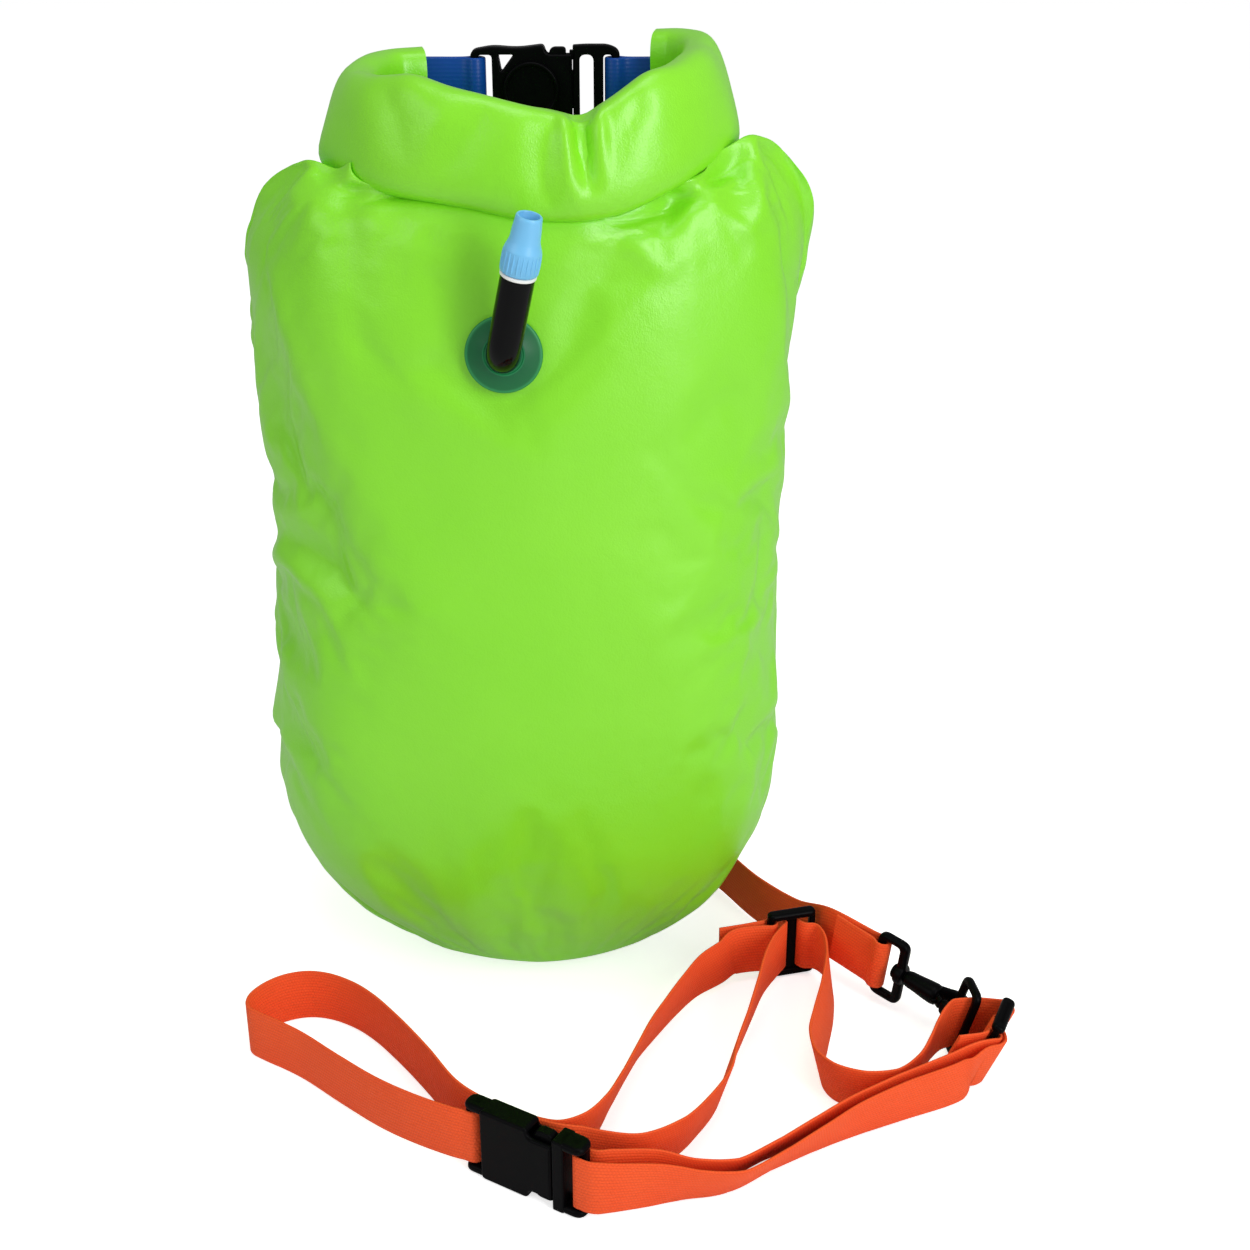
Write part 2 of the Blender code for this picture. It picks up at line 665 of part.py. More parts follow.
def tab(name, end, bar_place, wing, frame):
    """Webbing tab from the roll's end, round the buckle's bar and back to lie on itself."""
    toward = 1 if bar_place > end else -1
    radius = math.hypot(BAR / 2, wing) + GAP * 2 + TAB_THICKNESS / 2
    close = TAB_THICKNESS * 0.75
    path = [(end, close), (bar_place - toward * BAR * 1.4, close * 1.2)]
    for k in range(7):
        angle = math.pi / 2 - math.pi * k / 6
        path.append((bar_place + toward * radius * math.cos(angle), radius * math.sin(angle)))
    path += [(bar_place - toward * BAR * 1.4, -close * 1.2), (end, -close)]
    stations = [(frame @ Vector((x, y, 0)), UP) for x, y in path]
    ribbon(name, stations, TAB_WIDTH, TAB_THICKNESS, "tab_blue")


def build_closure():
    """Side-release buckle with a round disc that joins the roll's two ends."""
    frame = closure_frame()
    half, tall, deep = CLOSURE_SPAN / 2, CLOSURE_HEIGHT / 2, CLOSURE_THICKNESS / 2
    wing = deep * 0.5
    window = TAB_WIDTH / 2 + WINDOW_CLEARANCE / 2
    split = half * 0.36
    disc = -DISC_OFFSET
    slot = BAR + TAB_THICKNESS * 2
    female = box("closure_female", (-half + BAR + slot, -deep, -tall), (split, deep, tall), frame,
                 "black_plastic")
    cavity = tall - BUCKLE_WALL
    cut_box(female, (split - PRONG_LENGTH - PRONG_CLEARANCE, -deep + BUCKLE_WALL, -cavity),
            (split + OVERRUN, deep - BUCKLE_WALL, cavity), frame)
    for sign in (-1, 1):
        low, high = sorted((sign * (cavity - OVERRUN), sign * (tall + OVERRUN)))
        cut_box(female, (split - PAD_LENGTH - PRONG_CLEARANCE * 2, -deep - OVERRUN, low),
                (split - PRONG_CLEARANCE * 2, deep + OVERRUN, high), frame)
    arm = box("closure_end", (-half, -wing, -tall), (-half + BAR + slot + OVERRUN, wing, tall), frame)
    combine(female, arm, "UNION")
    cut_box(female, (-half + BAR, -deep - OVERRUN, -window),
            (-half + BAR + slot, deep + OVERRUN, window), frame)
    facing = frame @ Matrix.Translation((disc, 0, 0)) @ Matrix.Rotation(math.radians(90), 4, "X")
    front, sunk = deep + DISC_PROUD, deep - BUCKLE_WALL / 2
    rim = [(0, sunk), (DISC_RADIUS, sunk), (DISC_RADIUS, front), (DISC_RECESS_RADIUS, front),
           (DISC_RECESS_RADIUS - DISC_PROUD / 2, deep + GAP), (DISC_RECESS_RADIUS * 0.8, deep + GAP),
           (DISC_RECESS_RADIUS * 0.75, front), (0, front)]
    combine(female, turned("closure_hub", rim, facing, 24), "UNION")
    male = box("closure_male", (split + GAP, -wing, -tall), (half, wing, tall), frame, "black_plastic")
    first = split + BAR
    middle = (first + half - BAR - slot) / 2
    cut_box(male, (first, -deep, -window), (middle - BAR / 2, deep, window), frame)
    cut_box(male, (half - BAR - slot, -deep, -window), (half - BAR, deep, window), frame)
    thin, narrow = wing * 0.8, PRONG_OFFSET * 0.35
    tongue = box("closure_tongue", (split - PRONG_LENGTH, -thin, -narrow), (first, thin, narrow), frame)
    combine(male, tongue, "UNION")
    prongs("closure", frame, split, tall, deep)
    ends = roll_route()
    tab("closure_tab_left", ends[0].x - CLOSURE_MIDDLE_X + GAP * 4, -half + BAR / 2, wing, frame)
    tab("closure_tab_right", ends[-1].x - CLOSURE_MIDDLE_X - GAP * 4, half - BAR / 2, wing, frame)


def prongs(name, frame, split, tall, deep):
    """The two sprung arms of a buckle's male half, each with a thumb pad in the female's window."""
    thick = deep - BUCKLE_WALL - PRONG_CLEARANCE
    for label, sign in (("upper", 1), ("lower", -1)):
        bm = bmesh.new()
        pad_start = split - PAD_LENGTH - PRONG_CLEARANCE
        pad_stop = split - PRONG_CLEARANCE * 3
        rise = tall - PAD_DEPTH * 0.25
        slope = PRONG_WIDTH / 3
        foot = PRONG_OFFSET - PRONG_WIDTH / 2
        head = PRONG_OFFSET + PRONG_WIDTH / 2
        outline = [(split, foot), (split - PRONG_LENGTH, foot), (split - PRONG_LENGTH, head),
                   (pad_start, head), (pad_start + slope, rise), (pad_stop - slope, rise),
                   (pad_stop, head), (split, head)]
        faces = []
        for y in (-thick, thick):
            faces.append([bm.verts.new(frame @ Vector((u, y, sign * z))) for u, z in outline])
        bm.faces.new(faces[0])
        bm.faces.new(faces[1])
        for i in range(len(outline)):
            j = (i + 1) % len(outline)
            bm.faces.new((faces[0][i], faces[0][j], faces[1][j], faces[1][i]))
        made = add_object(name + "_prong_" + label, bm, "black_plastic")
        set_origin(made, frame @ Vector((split, 0, sign * PRONG_OFFSET)))


# Webbing


def ribbon(name, stations, width=WEB_WIDTH, thickness=WEB_THICKNESS, material="webbing_orange"):
    """Flat strap through stations of (centre, width direction), smoothed between them."""
    centres = smooth([place for place, _ in stations], WEB_STEP)
    spread = []
    for i in range(len(stations) - 1):
        count = max(1, math.ceil((stations[i + 1][0] - stations[i][0]).length / WEB_STEP))
        spread += [stations[i][1].lerp(stations[i + 1][1], k / count) for k in range(count)]
    spread.append(stations[-1][1])
    rings = []
    for i, centre in enumerate(centres):
        along = tangent_at(centres, i)
        across = along.cross(spread[i]).normalized()
        tall = across.cross(along).normalized()
        x, z = across * thickness / 2, tall * width / 2
        ring = [centre - x - z, centre + x - z, centre + x + z, centre - x + z]
        sunk = min(0, min(point.z for point in ring))
        rings.append([point - UP * sunk for point in ring])
    return loft(name, rings, material)


def laid(shares):
    """Free stations of the belt: on edge on the floor, leaned and lifted as their table says."""
    places = [Vector((x * LAID_LENGTH, y * LAID_LENGTH, 0)) for x, y, _, _ in shares]
    made = []
    for i, (_, _, lean, lift) in enumerate(shares):
        angle = math.radians(lean)
        along = tangent_at(places, i)
        right = Vector((along.y, -along.x, 0))
        rest = WEB_WIDTH / 2 * math.cos(angle) + WEB_THICKNESS / 2 * abs(math.sin(angle))
        height = rest + (HARDWARE_MIDDLE - rest) * lift
        made.append((places[i] + UP * height, UP * math.cos(angle) + right * math.sin(angle)))
    return made


def held(frame, *places):
    """Stations in a piece of hardware's own frame, as (u, n) places."""
    up = (frame.to_3x3() @ UP).normalized()
    return [(frame @ Vector((u, n, 0)), up) for u, n in places]


def around(bar_place, radius, first, last, steps):
    """Places on an arc about a bar, in degrees from the u axis toward n."""
    made = []
    for k in range(steps + 1):
        angle = math.radians(first + (last - first) * k / steps)
        made.append((bar_place + radius * math.cos(angle), radius * math.sin(angle)))
    return made


def hardware_place(shares):
    return Vector((shares[0] * LAID_LENGTH, shares[1] * LAID_LENGTH, HARDWARE_MIDDLE))


def glide_frames():
    left = plan_frame(hardware_place(LEFT_GLIDE_SHARES), LEFT_GLIDE_TURN)
    right = plan_frame(hardware_place(RIGHT_GLIDE_SHARES), RIGHT_GLIDE_TURN, RIGHT_GLIDE_LEAN)
    return left, right


def buckle_frame():
    return plan_frame(hardware_place(BUCKLE_SHARES), BUCKLE_TURN)


def ring_frame():
    return plan_frame(hardware_place(RING_SHARES), RING_TURN, RING_LEAN, about="n")


def ring_back():
    """Distance from the strap to the ring's back bar, along n."""
    return RING_DEPTH + RING_BAR - WEB_THICKNESS / 2 - RING_STRAP_CLEARANCE - RING_BAR / 2


def build_belt():
    left, right = glide_frames()
    clasp = buckle_frame()
    ring = ring_frame()
    wrap = math.hypot(BAR, GLIDE_THICKNESS) / 2 + WEB_THICKNESS / 2 + GAP * 0.5
    half_gap = math.degrees(GAP / wrap)
    layer = WEB_THICKNESS + GAP * 2
    passing = wrap + layer + GAP
    # Left loop: sewn round the left glide's first bar, then round to the buckle's female half
    tail = [(-BAR_PITCH - SEWN_TAIL, layer - WEB_THICKNESS * 0.2),
            (-BAR_PITCH - SEWN_TAIL / 2, layer * 0.9)]
    sewn = held(left, *tail, *around(-BAR_PITCH, wrap, 125, -125, 9),
                (-BAR_PITCH - SEWN_TAIL * 0.4, -layer * 0.5), (-BAR_PITCH - SEWN_TAIL * 0.75, -layer * 0.75))
    outer_face = BUCKLE_FRAME_HALF_THICKNESS + GAP * 2 + WEB_THICKNESS / 2
    bar_middle = BUCKLE_HALF_LENGTH - BUCKLE_BAR / 2
    slot_middle = BUCKLE_HALF_LENGTH - BUCKLE_BAR - BUCKLE_SLOT / 2
    body_end = BUCKLE_HALF_LENGTH - BUCKLE_BAR - BUCKLE_SLOT
    behind = BUCKLE_HALF_THICKNESS + GAP * 2 + WEB_THICKNESS / 2
    into_female = held(clasp, (-BUCKLE_HALF_LENGTH * 1.18, -outer_face * 1.35),
                       (-BUCKLE_HALF_LENGTH, -outer_face * 1.05), (-bar_middle, -outer_face),
                       (-slot_middle - WEB_THICKNESS * 0.9, -outer_face * 0.75), (-slot_middle, -GAP))
    ribbon("webbing_left_loop", sewn + laid(LEFT_LOOP_SHARES) + into_female)
    # Return run: from the female half's slot, behind the buckle and up to the left glide
    corner = WEB_THICKNESS / 2 + GAP * 2
    from_female = held(clasp, (-slot_middle, GAP), (-slot_middle + WEB_THICKNESS * 0.4, behind * 0.35),
                       (-body_end - corner, behind * 0.6), (-body_end - corner * 0.8, behind * 0.98),
                       (-body_end + corner * 0.2, behind * 1.05), (-body_end * 0.5, behind * 1.1),
                       (0, behind * 1.2), (body_end * 0.55, behind * 1.6))
    to_left = held(left, (-BAR_PITCH * 1.15, -BAR_PITCH), (-BAR_PITCH * 0.66, -BAR_PITCH * 0.5),
                   *around(0, wrap, 200, 90 + half_gap, 5))
    ribbon("webbing_return", from_female + laid(RETURN_SHARES) + to_left)
    # Centre run: over the glide's middle bar, through the ring and into the right glide
    from_left = held(left, *around(0, wrap, 90 - half_gap, -10, 5), (BAR_PITCH * 0.5, -BAR_PITCH * 0.45),
                     (BAR_PITCH * 0.95, -BAR_PITCH * 0.62))
    at_ring = held(plan_frame(hardware_place(RING_SHARES), RING_TURN),
                   (-RING_DEPTH / 2, -GAP), (0, 0), (RING_DEPTH / 2, -GAP))
    to_right = held(right, (BAR_PITCH * 1.42, -BAR_PITCH * 0.15),
                    (BAR_PITCH * 1.2, -BAR_PITCH * 0.31), (BAR_PITCH, -BAR_PITCH * 0.37),
                    *around(0, wrap, -10, 90 - half_gap, 5))
    ribbon("webbing_centre", from_left + laid(CENTRE_SHARES) + at_ring + to_right)
    # Front run: from the right glide along the front to the buckle's male half
    from_right = held(right, *around(0, wrap, 90 + half_gap, 190, 5), (-BAR_PITCH * 0.66, -passing * 0.75),
                      (-BAR_PITCH, -passing), (-BAR_PITCH * 1.45, -passing * 0.72),
                      (-BAR_PITCH * 2.0, BAR_PITCH * 0.02))
    rounding = ((slot_middle + WEB_THICKNESS * 1.3, outer_face * 0.98),
                (slot_middle + WEB_THICKNESS * 0.7, outer_face * 0.5))
    half_loop = slot_middle + WEB_THICKNESS * 0.65
    into_male = held(clasp, (BUCKLE_HALF_LENGTH * 1.2, -outer_face * 0.5),
                     (BUCKLE_HALF_LENGTH * 1.05, -outer_face * 0.98), (bar_middle, -outer_face),
                     *((u, -n) for u, n in rounding), (half_loop, -GAP))
    ribbon("webbing_front", from_right + laid(FRONT_SHARES) + into_male)
    # Rear run: round the male half's bar and back to the right glide, where its end is sewn
    from_male = held(clasp, (half_loop, GAP), *rounding[::-1], (bar_middle, outer_face),
                     (BUCKLE_HALF_LENGTH * 1.05, outer_face * 1.25),
                     (BUCKLE_HALF_LENGTH * 1.2, outer_face * 2.2))
    tail = [(-BAR_PITCH * 1.4, BAR_PITCH * 0.50), (-BAR_PITCH * 1.8, BAR_PITCH * 0.84),
            (-BAR_PITCH * 2.3, BAR_PITCH * 1.28)]
    sewn = held(right, (-BAR_PITCH * 1.9, BAR_PITCH * 0.38), *around(-BAR_PITCH, wrap, -150, 100, 9), *tail)
    ribbon("webbing_rear", from_male + laid(REAR_SHARES) + sewn)
    glide("left_glide", left)
    glide("right_glide", right)
    build_ring(ring)
    build_belt_buckle(clasp)
    names = [made.name for made in bpy.data.objects if made.name.startswith("webbing_")]
    names += ["left_glide", "right_glide", "strap_ring", "buckle_female", "buckle_male"]
    hang_on("belt_pivot", ring @ Vector((0, ring_back(), 0)), [bpy.data.objects[name] for name in names])


def glide(name, frame):
    """Three-bar slider with two slots for the webbing."""
    end, tall, deep = BAR_PITCH + BAR / 2, HARDWARE_HEIGHT / 2, GLIDE_THICKNESS / 2
    made = box(name, (-end, -deep, -tall), (end, deep, tall), frame, "black_plastic")
    window = tall - RAIL
    for sign in (-1, 1):
        low, high = sorted((sign * BAR / 2, sign * (BAR_PITCH - BAR / 2)))
        cut_box(made, (low, -deep - OVERRUN, -window), (high, deep + OVERRUN, window), frame)
    round_edges(made, BAR * 0.17, 1)


def build_ring(frame):
    """Rectangular ring round the strap, its back bar free for the hook."""
    back = ring_back() + RING_BAR / 2
    front = back - RING_DEPTH - 2 * RING_BAR
    tall, side = HARDWARE_HEIGHT / 2, RING_BAR / 2
    made = box("strap_ring", (-side, front, -tall), (side, back, tall), frame, "black_plastic")
    cut_box(made, (-side - OVERRUN, front + RING_BAR, -tall + RING_BAR),
            (side + OVERRUN, back - RING_BAR, tall - RING_BAR), frame)
    round_edges(made, RING_BAR * 0.25, 2)


def build_belt_buckle(frame):
    """Side-release buckle: hollow female half, male half with tongue, end bars for the webbing."""
    tall, deep, thin = HARDWARE_HEIGHT / 2, BUCKLE_HALF_THICKNESS, BUCKLE_FRAME_HALF_THICKNESS
    end = BUCKLE_HALF_LENGTH
    split = end * BUCKLE_SPLIT_SHARE
    body_end = end - BUCKLE_BAR - BUCKLE_SLOT
    window = WEB_WIDTH / 2 + WINDOW_CLEARANCE / 2
    cavity = tall - BUCKLE_WALL
    female = box("buckle_female", (-body_end, -deep, -tall), (split, deep, tall), frame, "black_plastic")
    round_edges(female, BUCKLE_WALL * 0.35, 1)
    cut_box(female, (split - PRONG_LENGTH - PRONG_CLEARANCE * 3, -deep + BUCKLE_WALL, -cavity),
            (split + OVERRUN, deep - BUCKLE_WALL, cavity), frame)
    for sign in (-1, 1):
        low, high = sorted((sign * (cavity - OVERRUN), sign * (tall + OVERRUN)))
        cut_box(female, (split - PAD_LENGTH - PRONG_CLEARANCE * 2, -deep - OVERRUN, low),
                (split - PRONG_CLEARANCE * 2, deep + OVERRUN, high), frame)
    arm = box("buckle_female_end", (-end, -thin, -tall), (-body_end + OVERRUN, thin, tall), frame)
    combine(female, arm, "UNION")
    cut_box(female, (-end + BUCKLE_BAR, -deep, -window), (-body_end, deep, window), frame)
    male = box("buckle_male", (split + GAP, -deep, -tall), (body_end, deep, tall), frame, "black_plastic")
    round_edges(male, BUCKLE_WALL * 0.35, 1)
    arm = box("buckle_male_end", (body_end - OVERRUN, -thin, -tall), (end, thin, tall), frame)
    combine(male, arm, "UNION")
    cut_box(male, (body_end, -deep, -window), (end - BUCKLE_BAR, deep, window), frame)
    tongue = box("buckle_tongue", (split - PRONG_LENGTH, -deep * 0.45, -PRONG_OFFSET * 0.4),
                 (split + BAR / 2, deep * 0.45, PRONG_OFFSET * 0.4), frame)
    combine(male, tongue, "UNION")
    prongs("buckle", frame, split, tall, deep)


# Tether, swivel eye and snap hook


def hook_frames():
    """Z along the shank toward the eye, X in the bow's plane; the bow is pulled against the ring's bar.

    The first frame is turned on the shank so that the ring's bar stands square in the bow; the
    second is the swivel eye's.
    """
    place = ring_frame() @ Vector((0, ring_back(), 0))
    turn = Matrix.Rotation(math.radians(HOOK_TURN), 4, "Z")
    pitch = Matrix.Rotation(math.radians(90 - HOOK_PITCH), 4, "Y")
    seated = Matrix.Translation((0, 0, BOW_RADIUS - BOW_SECTION - RING_BAR * RING_REACH_SHARE - GAP))
    eye = Matrix.Translation(place) @ turn @ pitch @ seated @ Matrix.Rotation(math.radians(90), 4, "Z")
    bar = eye.to_3x3().transposed() @ (ring_frame().to_3x3() @ UP)
    return eye @ Matrix.Rotation(math.atan2(-bar.x, bar.y), 4, "Z"), eye


def build_hook(frame):
    head_start = BARREL_END + GAP * 2 + EYE_COLLAR + GAP
    profile = [(0, BARREL_START), (BARREL_RADIUS * 0.75, BARREL_START),
               (BARREL_RADIUS, BARREL_START + BARREL_RADIUS * 0.5),
               (BARREL_RADIUS, BARREL_END - BARREL_RADIUS * 0.3), (BARREL_RADIUS * 0.85, BARREL_END),
               (POST_RADIUS, BARREL_END), (POST_RADIUS, head_start), (HEAD_RADIUS, head_start),
               (HEAD_RADIUS, head_start + HEAD_LENGTH), (0, head_start + HEAD_LENGTH)]
    body = turned("hook_body", profile, frame, 16, "black_plastic")
    set_origin(body, frame @ Vector((0, 0, BARREL_END)))
    arc = [Vector((-BARREL_RADIUS * 0.35, 0, BARREL_START + BARREL_RADIUS))]
    for k in range(13):
        angle = math.radians(140 + (GATE_START_DEG + 360 - 140) * k / 12)
        arc.append(Vector((BOW_RADIUS * math.cos(angle), 0, BOW_RADIUS * math.sin(angle))))
    bow = sweep("hook_bow", [frame @ point for point in arc], BOW_SECTION, 0, 8, None)
    combine(body, bow, "UNION")
    first = math.radians(GATE_START_DEG)
    reach = GAP + GATE_SECTION * 0.1
    start = Vector((BOW_RADIUS * math.cos(first), 0, BOW_RADIUS * math.sin(first)))
    pivot = Vector((BARREL_RADIUS * 0.62, 0, BARREL_START))
    along = (pivot - start).normalized()
    ends = [start + along * (reach + GAP), pivot - along * (reach + GATE_SECTION)]
    bars = [frame @ ends[0].lerp(ends[1], k / 3) for k in range(4)]
    gate = sweep("hook_gate", bars, GATE_SECTION, 0, 8, "black_plastic")
    set_origin(gate, frame @ pivot)


def build_eye(frame):
    """Rectangular eye round the hook's post; returns how far along the shank its tether bar is."""
    start = BARREL_END + GAP * 2
    stop = start + EYE_COLLAR + EYE_WINDOW + EYE_BAR
    tall, deep = HARDWARE_HEIGHT / 2, EYE_THICKNESS / 2
    eye = box("swivel_eye", (-deep, -tall, start), (deep, tall, stop), frame, "black_plastic")
    window = WEB_WIDTH / 2 + WINDOW_CLEARANCE / 2
    cut_box(eye, (-deep - OVERRUN, -window, start + EYE_COLLAR),
            (deep + OVERRUN, window, stop - EYE_BAR), frame)
    wide, low, high = POST_RADIUS + POST_CLEARANCE, start - OVERRUN, start + EYE_COLLAR + OVERRUN
    bore = turned("swivel_bore", [(0, low), (wide, low), (wide, high), (0, high)], frame, 16)
    combine(eye, bore, "DIFFERENCE")
    return stop - EYE_BAR / 2


def panel_chord(x, height, reach):
    """Heights where the back panel bends within a reach, its chord's outward and upward directions,
    and the middle of the flat that lies just clear of it."""
    low, high = height - reach, height + reach
    levels = [share * SHOULDER_HEIGHT for share, *_ in PROFILE_SHARES]
    heights = [low] + [level for level in levels if low < level < high] + [high]
    bottom, top = body_point(x, 1, low), body_point(x, 1, high)
    up = (top - bottom).normalized()
    out = Vector((0, up.z, -up.y))
    bulge = max((body_point(x, 1, h) - bottom).dot(out) for h in heights)
    return heights, out, up, (bottom + top) / 2 + out * bulge


def build_tether(frame, bar_place):
    """Anchor patch on the back panel and the tether webbing from it to the swivel eye."""
    creases, out, up, _ = panel_chord(TETHER_PATCH_X, TETHER_PATCH_HEIGHT, TETHER_PATCH_HALF_HEIGHT)
    outer, inner = [], []
    for height in creases:
        half_width, half_depth, middle = body_at(height)
        lines = ([], [])
        for k in range(7):
            x = TETHER_PATCH_X + TETHER_PATCH_HALF_WIDTH * (k / 3 - 1)
            slope = (x - middle) * half_depth / half_width ** 2
            tilt = Vector((slope, out.y, out.z)).normalized()
            lines[0].append(body_point(x, 1, height) + tilt * (GAP + PATCH_THICKNESS))
            lines[1].append(body_point(x, 1, height) + tilt * GAP)
        outer.append(lines[0])
        inner.append(lines[1])
    plate("tether_patch", outer, inner, "bag_green")
    start = []
    for share in (0.9, 0.4, -0.1, -0.5):
        x = TETHER_PATCH_X + TETHER_PATCH_HALF_WIDTH * share
        _, out, up, place = panel_chord(x, TETHER_PATCH_HEIGHT, WEB_WIDTH / 2)
        start.append((place + out * (PATCH_CLEARANCE + PATCH_THICKNESS + WEB_THICKNESS / 2), up))
    free = [(Vector(point), UP) for point in TETHER_ROUTE]
    wide = (frame.to_3x3() @ Vector((0, -1, 0))).normalized()
    if wide.z < 0:
        wide = -wide
    wrap = math.hypot(EYE_BAR, EYE_THICKNESS) / 2 + WEB_THICKNESS / 2 + GAP
    layer = WEB_THICKNESS + GAP * 2
    places = [(-layer * 0.55, bar_place + SEWN_TAIL), (-layer * 0.9, bar_place + SEWN_TAIL * 0.5)]
    for k in range(9):
        angle = math.radians(130 + 280 * k / 8)
        places.append((wrap * math.cos(angle), bar_place + wrap * math.sin(angle)))
    places += [(layer * 0.9, bar_place + SEWN_TAIL * 0.5), (layer * 0.6, bar_place + SEWN_TAIL)]
    sewn = [(frame @ Vector((x, 0, z)), wide) for x, z in places]
    ribbon("tether_webbing", start + free + sewn)


# Inflation valve


def valve_frame():
    """Z out of the front panel at the valve, X to the right."""
    height = SHOULDER_HEIGHT - VALVE_DROP
    place = body_point(VALVE_X, -1, height)
    low = body_point(VALVE_X, -1, height - FLANGE_RADIUS)
    high = body_point(VALVE_X, -1, height + FLANGE_RADIUS)
    out = Vector((0, low.z - high.z, high.y - low.y)).normalized()
    right = Vector((1, 0, 0))
    return Matrix.Translation(place) @ Matrix((right, out.cross(right), out)).transposed().to_4x4()


def tube_axis():
    out, right = math.radians(TUBE_LEAN_OUT), math.radians(TUBE_LEAN_RIGHT)
    return Vector((math.sin(right), -math.sin(out), math.cos(right) * math.cos(out))).normalized()


def axis_frame(place, axis):
    return Matrix.Translation(place) @ axis.to_track_quat("Z", "Y").to_matrix().to_4x4()


def build_valve(front_panel):
    frame = valve_frame()
    back = GAP
    face = back + FLANGE_THICKNESS
    flange = [(TUBE_BORE, -NECK_DEPTH), (NECK_RADIUS, -NECK_DEPTH), (NECK_RADIUS, back),
              (FLANGE_RADIUS * 0.97, back), (FLANGE_RADIUS, back + FLANGE_THICKNESS * 0.4),
              (FLANGE_RADIUS * 0.96, face), (TUBE_BORE, face)]
    turned("valve_flange", flange, frame, 32, "valve_green")
    wide = NECK_RADIUS + GAP
    hole = [(0, -NECK_DEPTH), (wide, -NECK_DEPTH), (wide, OVERRUN), (0, OVERRUN)]
    combine(front_panel, turned("valve_hole", hole, frame, 24), "DIFFERENCE")
    out = (frame.to_3x3() @ UP).normalized()
    axis = tube_axis()
    start = frame @ Vector((0, 0, face + GAP))
    corner = start + out * (TUBE_STAND_OFF + TUBE_BEND)
    path = [start, start + out * TUBE_STAND_OFF]
    bend_end = corner + axis * TUBE_BEND
    for k in range(1, 7):
        t = k / 7
        near, far = path[1].lerp(corner, t), corner.lerp(bend_end, t)
        path.append(near.lerp(far, t))
    path += [bend_end, bend_end + axis * TUBE_STRAIGHT / 2, bend_end + axis * TUBE_STRAIGHT]
    sweep("valve_tube", path, TUBE_RADIUS, TUBE_BORE, 20, "tube_black")
    top = axis_frame(path[-1], axis)
    turned("valve_collar", [(TUBE_BORE, GAP), (COLLAR_RADIUS, GAP), (COLLAR_RADIUS, GAP + COLLAR_LENGTH),
                            (TUBE_BORE, GAP + COLLAR_LENGTH)], top, 24, "valve_white")
    base = 2 * GAP + COLLAR_LENGTH
    tip = base + MOUTH_LENGTH
    waist = base + MOUTH_LENGTH * MOUTH_BASE_SHARE
    mouth = [(TUBE_BORE, base), (MOUTH_BASE_RADIUS, base), (MOUTH_BASE_RADIUS * 0.97, waist),
             (MOUTH_TIP_RADIUS * 1.15, waist + MOUTH_LENGTH * 0.14),
             (MOUTH_TIP_RADIUS, tip - MOUTH_LENGTH * 0.04), (MOUTH_TIP_RADIUS * 0.93, tip), (TUBE_BORE, tip)]
    set_origin(turned("mouthpiece", mouth, top, 24, "mouthpiece_blue"), path[-1])
    reach = TUBE_BORE - POPPET_CLEARANCE
    poppet = [(0, -POPPET_DEPTH - POPPET_STEM), (POPPET_STEM_RADIUS, -POPPET_DEPTH - POPPET_STEM),
              (POPPET_STEM_RADIUS, -POPPET_DEPTH - POPPET_HEAD), (reach, -POPPET_DEPTH - POPPET_HEAD),
              (reach, -POPPET_DEPTH), (0, -POPPET_DEPTH)]
    set_origin(turned("valve_poppet", poppet, top, 12, "valve_white"), path[-1])


def build():
    clear_scene()
    panels = build_bag()
    build_roll()
    build_closure()
    build_valve(panels[-1])
    build_belt()
    hook, eye = hook_frames()
    build_hook(hook)
    build_tether(eye, build_eye(eye))


build()
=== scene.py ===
"""Looks of an inflated swim buoy with a rolled dry-bag collar, its tether and its waist belt."""

import json
import math

import bmesh
import bpy
import numpy as np
from mathutils import Matrix, Vector
from mathutils.bvhtree import BVHTree


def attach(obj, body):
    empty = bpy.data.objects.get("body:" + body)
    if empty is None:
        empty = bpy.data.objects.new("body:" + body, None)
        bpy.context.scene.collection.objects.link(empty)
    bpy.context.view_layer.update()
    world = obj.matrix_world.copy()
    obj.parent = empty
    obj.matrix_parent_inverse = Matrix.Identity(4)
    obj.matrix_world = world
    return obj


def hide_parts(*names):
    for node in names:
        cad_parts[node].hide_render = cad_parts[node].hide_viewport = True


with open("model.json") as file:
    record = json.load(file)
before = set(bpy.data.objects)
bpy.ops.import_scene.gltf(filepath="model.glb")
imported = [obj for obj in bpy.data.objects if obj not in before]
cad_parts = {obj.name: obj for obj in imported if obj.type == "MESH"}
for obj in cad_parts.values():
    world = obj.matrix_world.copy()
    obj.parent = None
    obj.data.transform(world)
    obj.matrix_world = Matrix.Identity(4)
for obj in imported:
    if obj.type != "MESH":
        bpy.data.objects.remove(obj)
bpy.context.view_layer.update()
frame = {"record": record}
scene = bpy.context.scene

# Camera. It stands in front and a little to the right, at chest height to the bag, and looks down
# by 25 degrees with a portrait lens, as the photograph does.


def linked(name, data):
    """A new object in the scene."""
    made = bpy.data.objects.new(name, data)
    scene.collection.objects.link(made)
    return made


lens = bpy.data.cameras.new("camera")
lens.lens, lens.sensor_width, lens.clip_start = 51.84, 36, 0.01
scene.camera = linked("camera", lens)
scene.camera.location = (0.0436, -0.7198, 0.5016)
scene.camera.rotation_euler = (math.radians(65), 0, 0)

# Tether. A limp strap of woven polypropylene, 25 mm wide, sewn to a patch low on the back and round
# the bar of the swivel eye. It leaves the patch, lies on its edge in one loose curve behind the bag
# and comes round its right side.

STRAP_WIDTH, STRAP_THICKNESS = 0.025, 0.0013


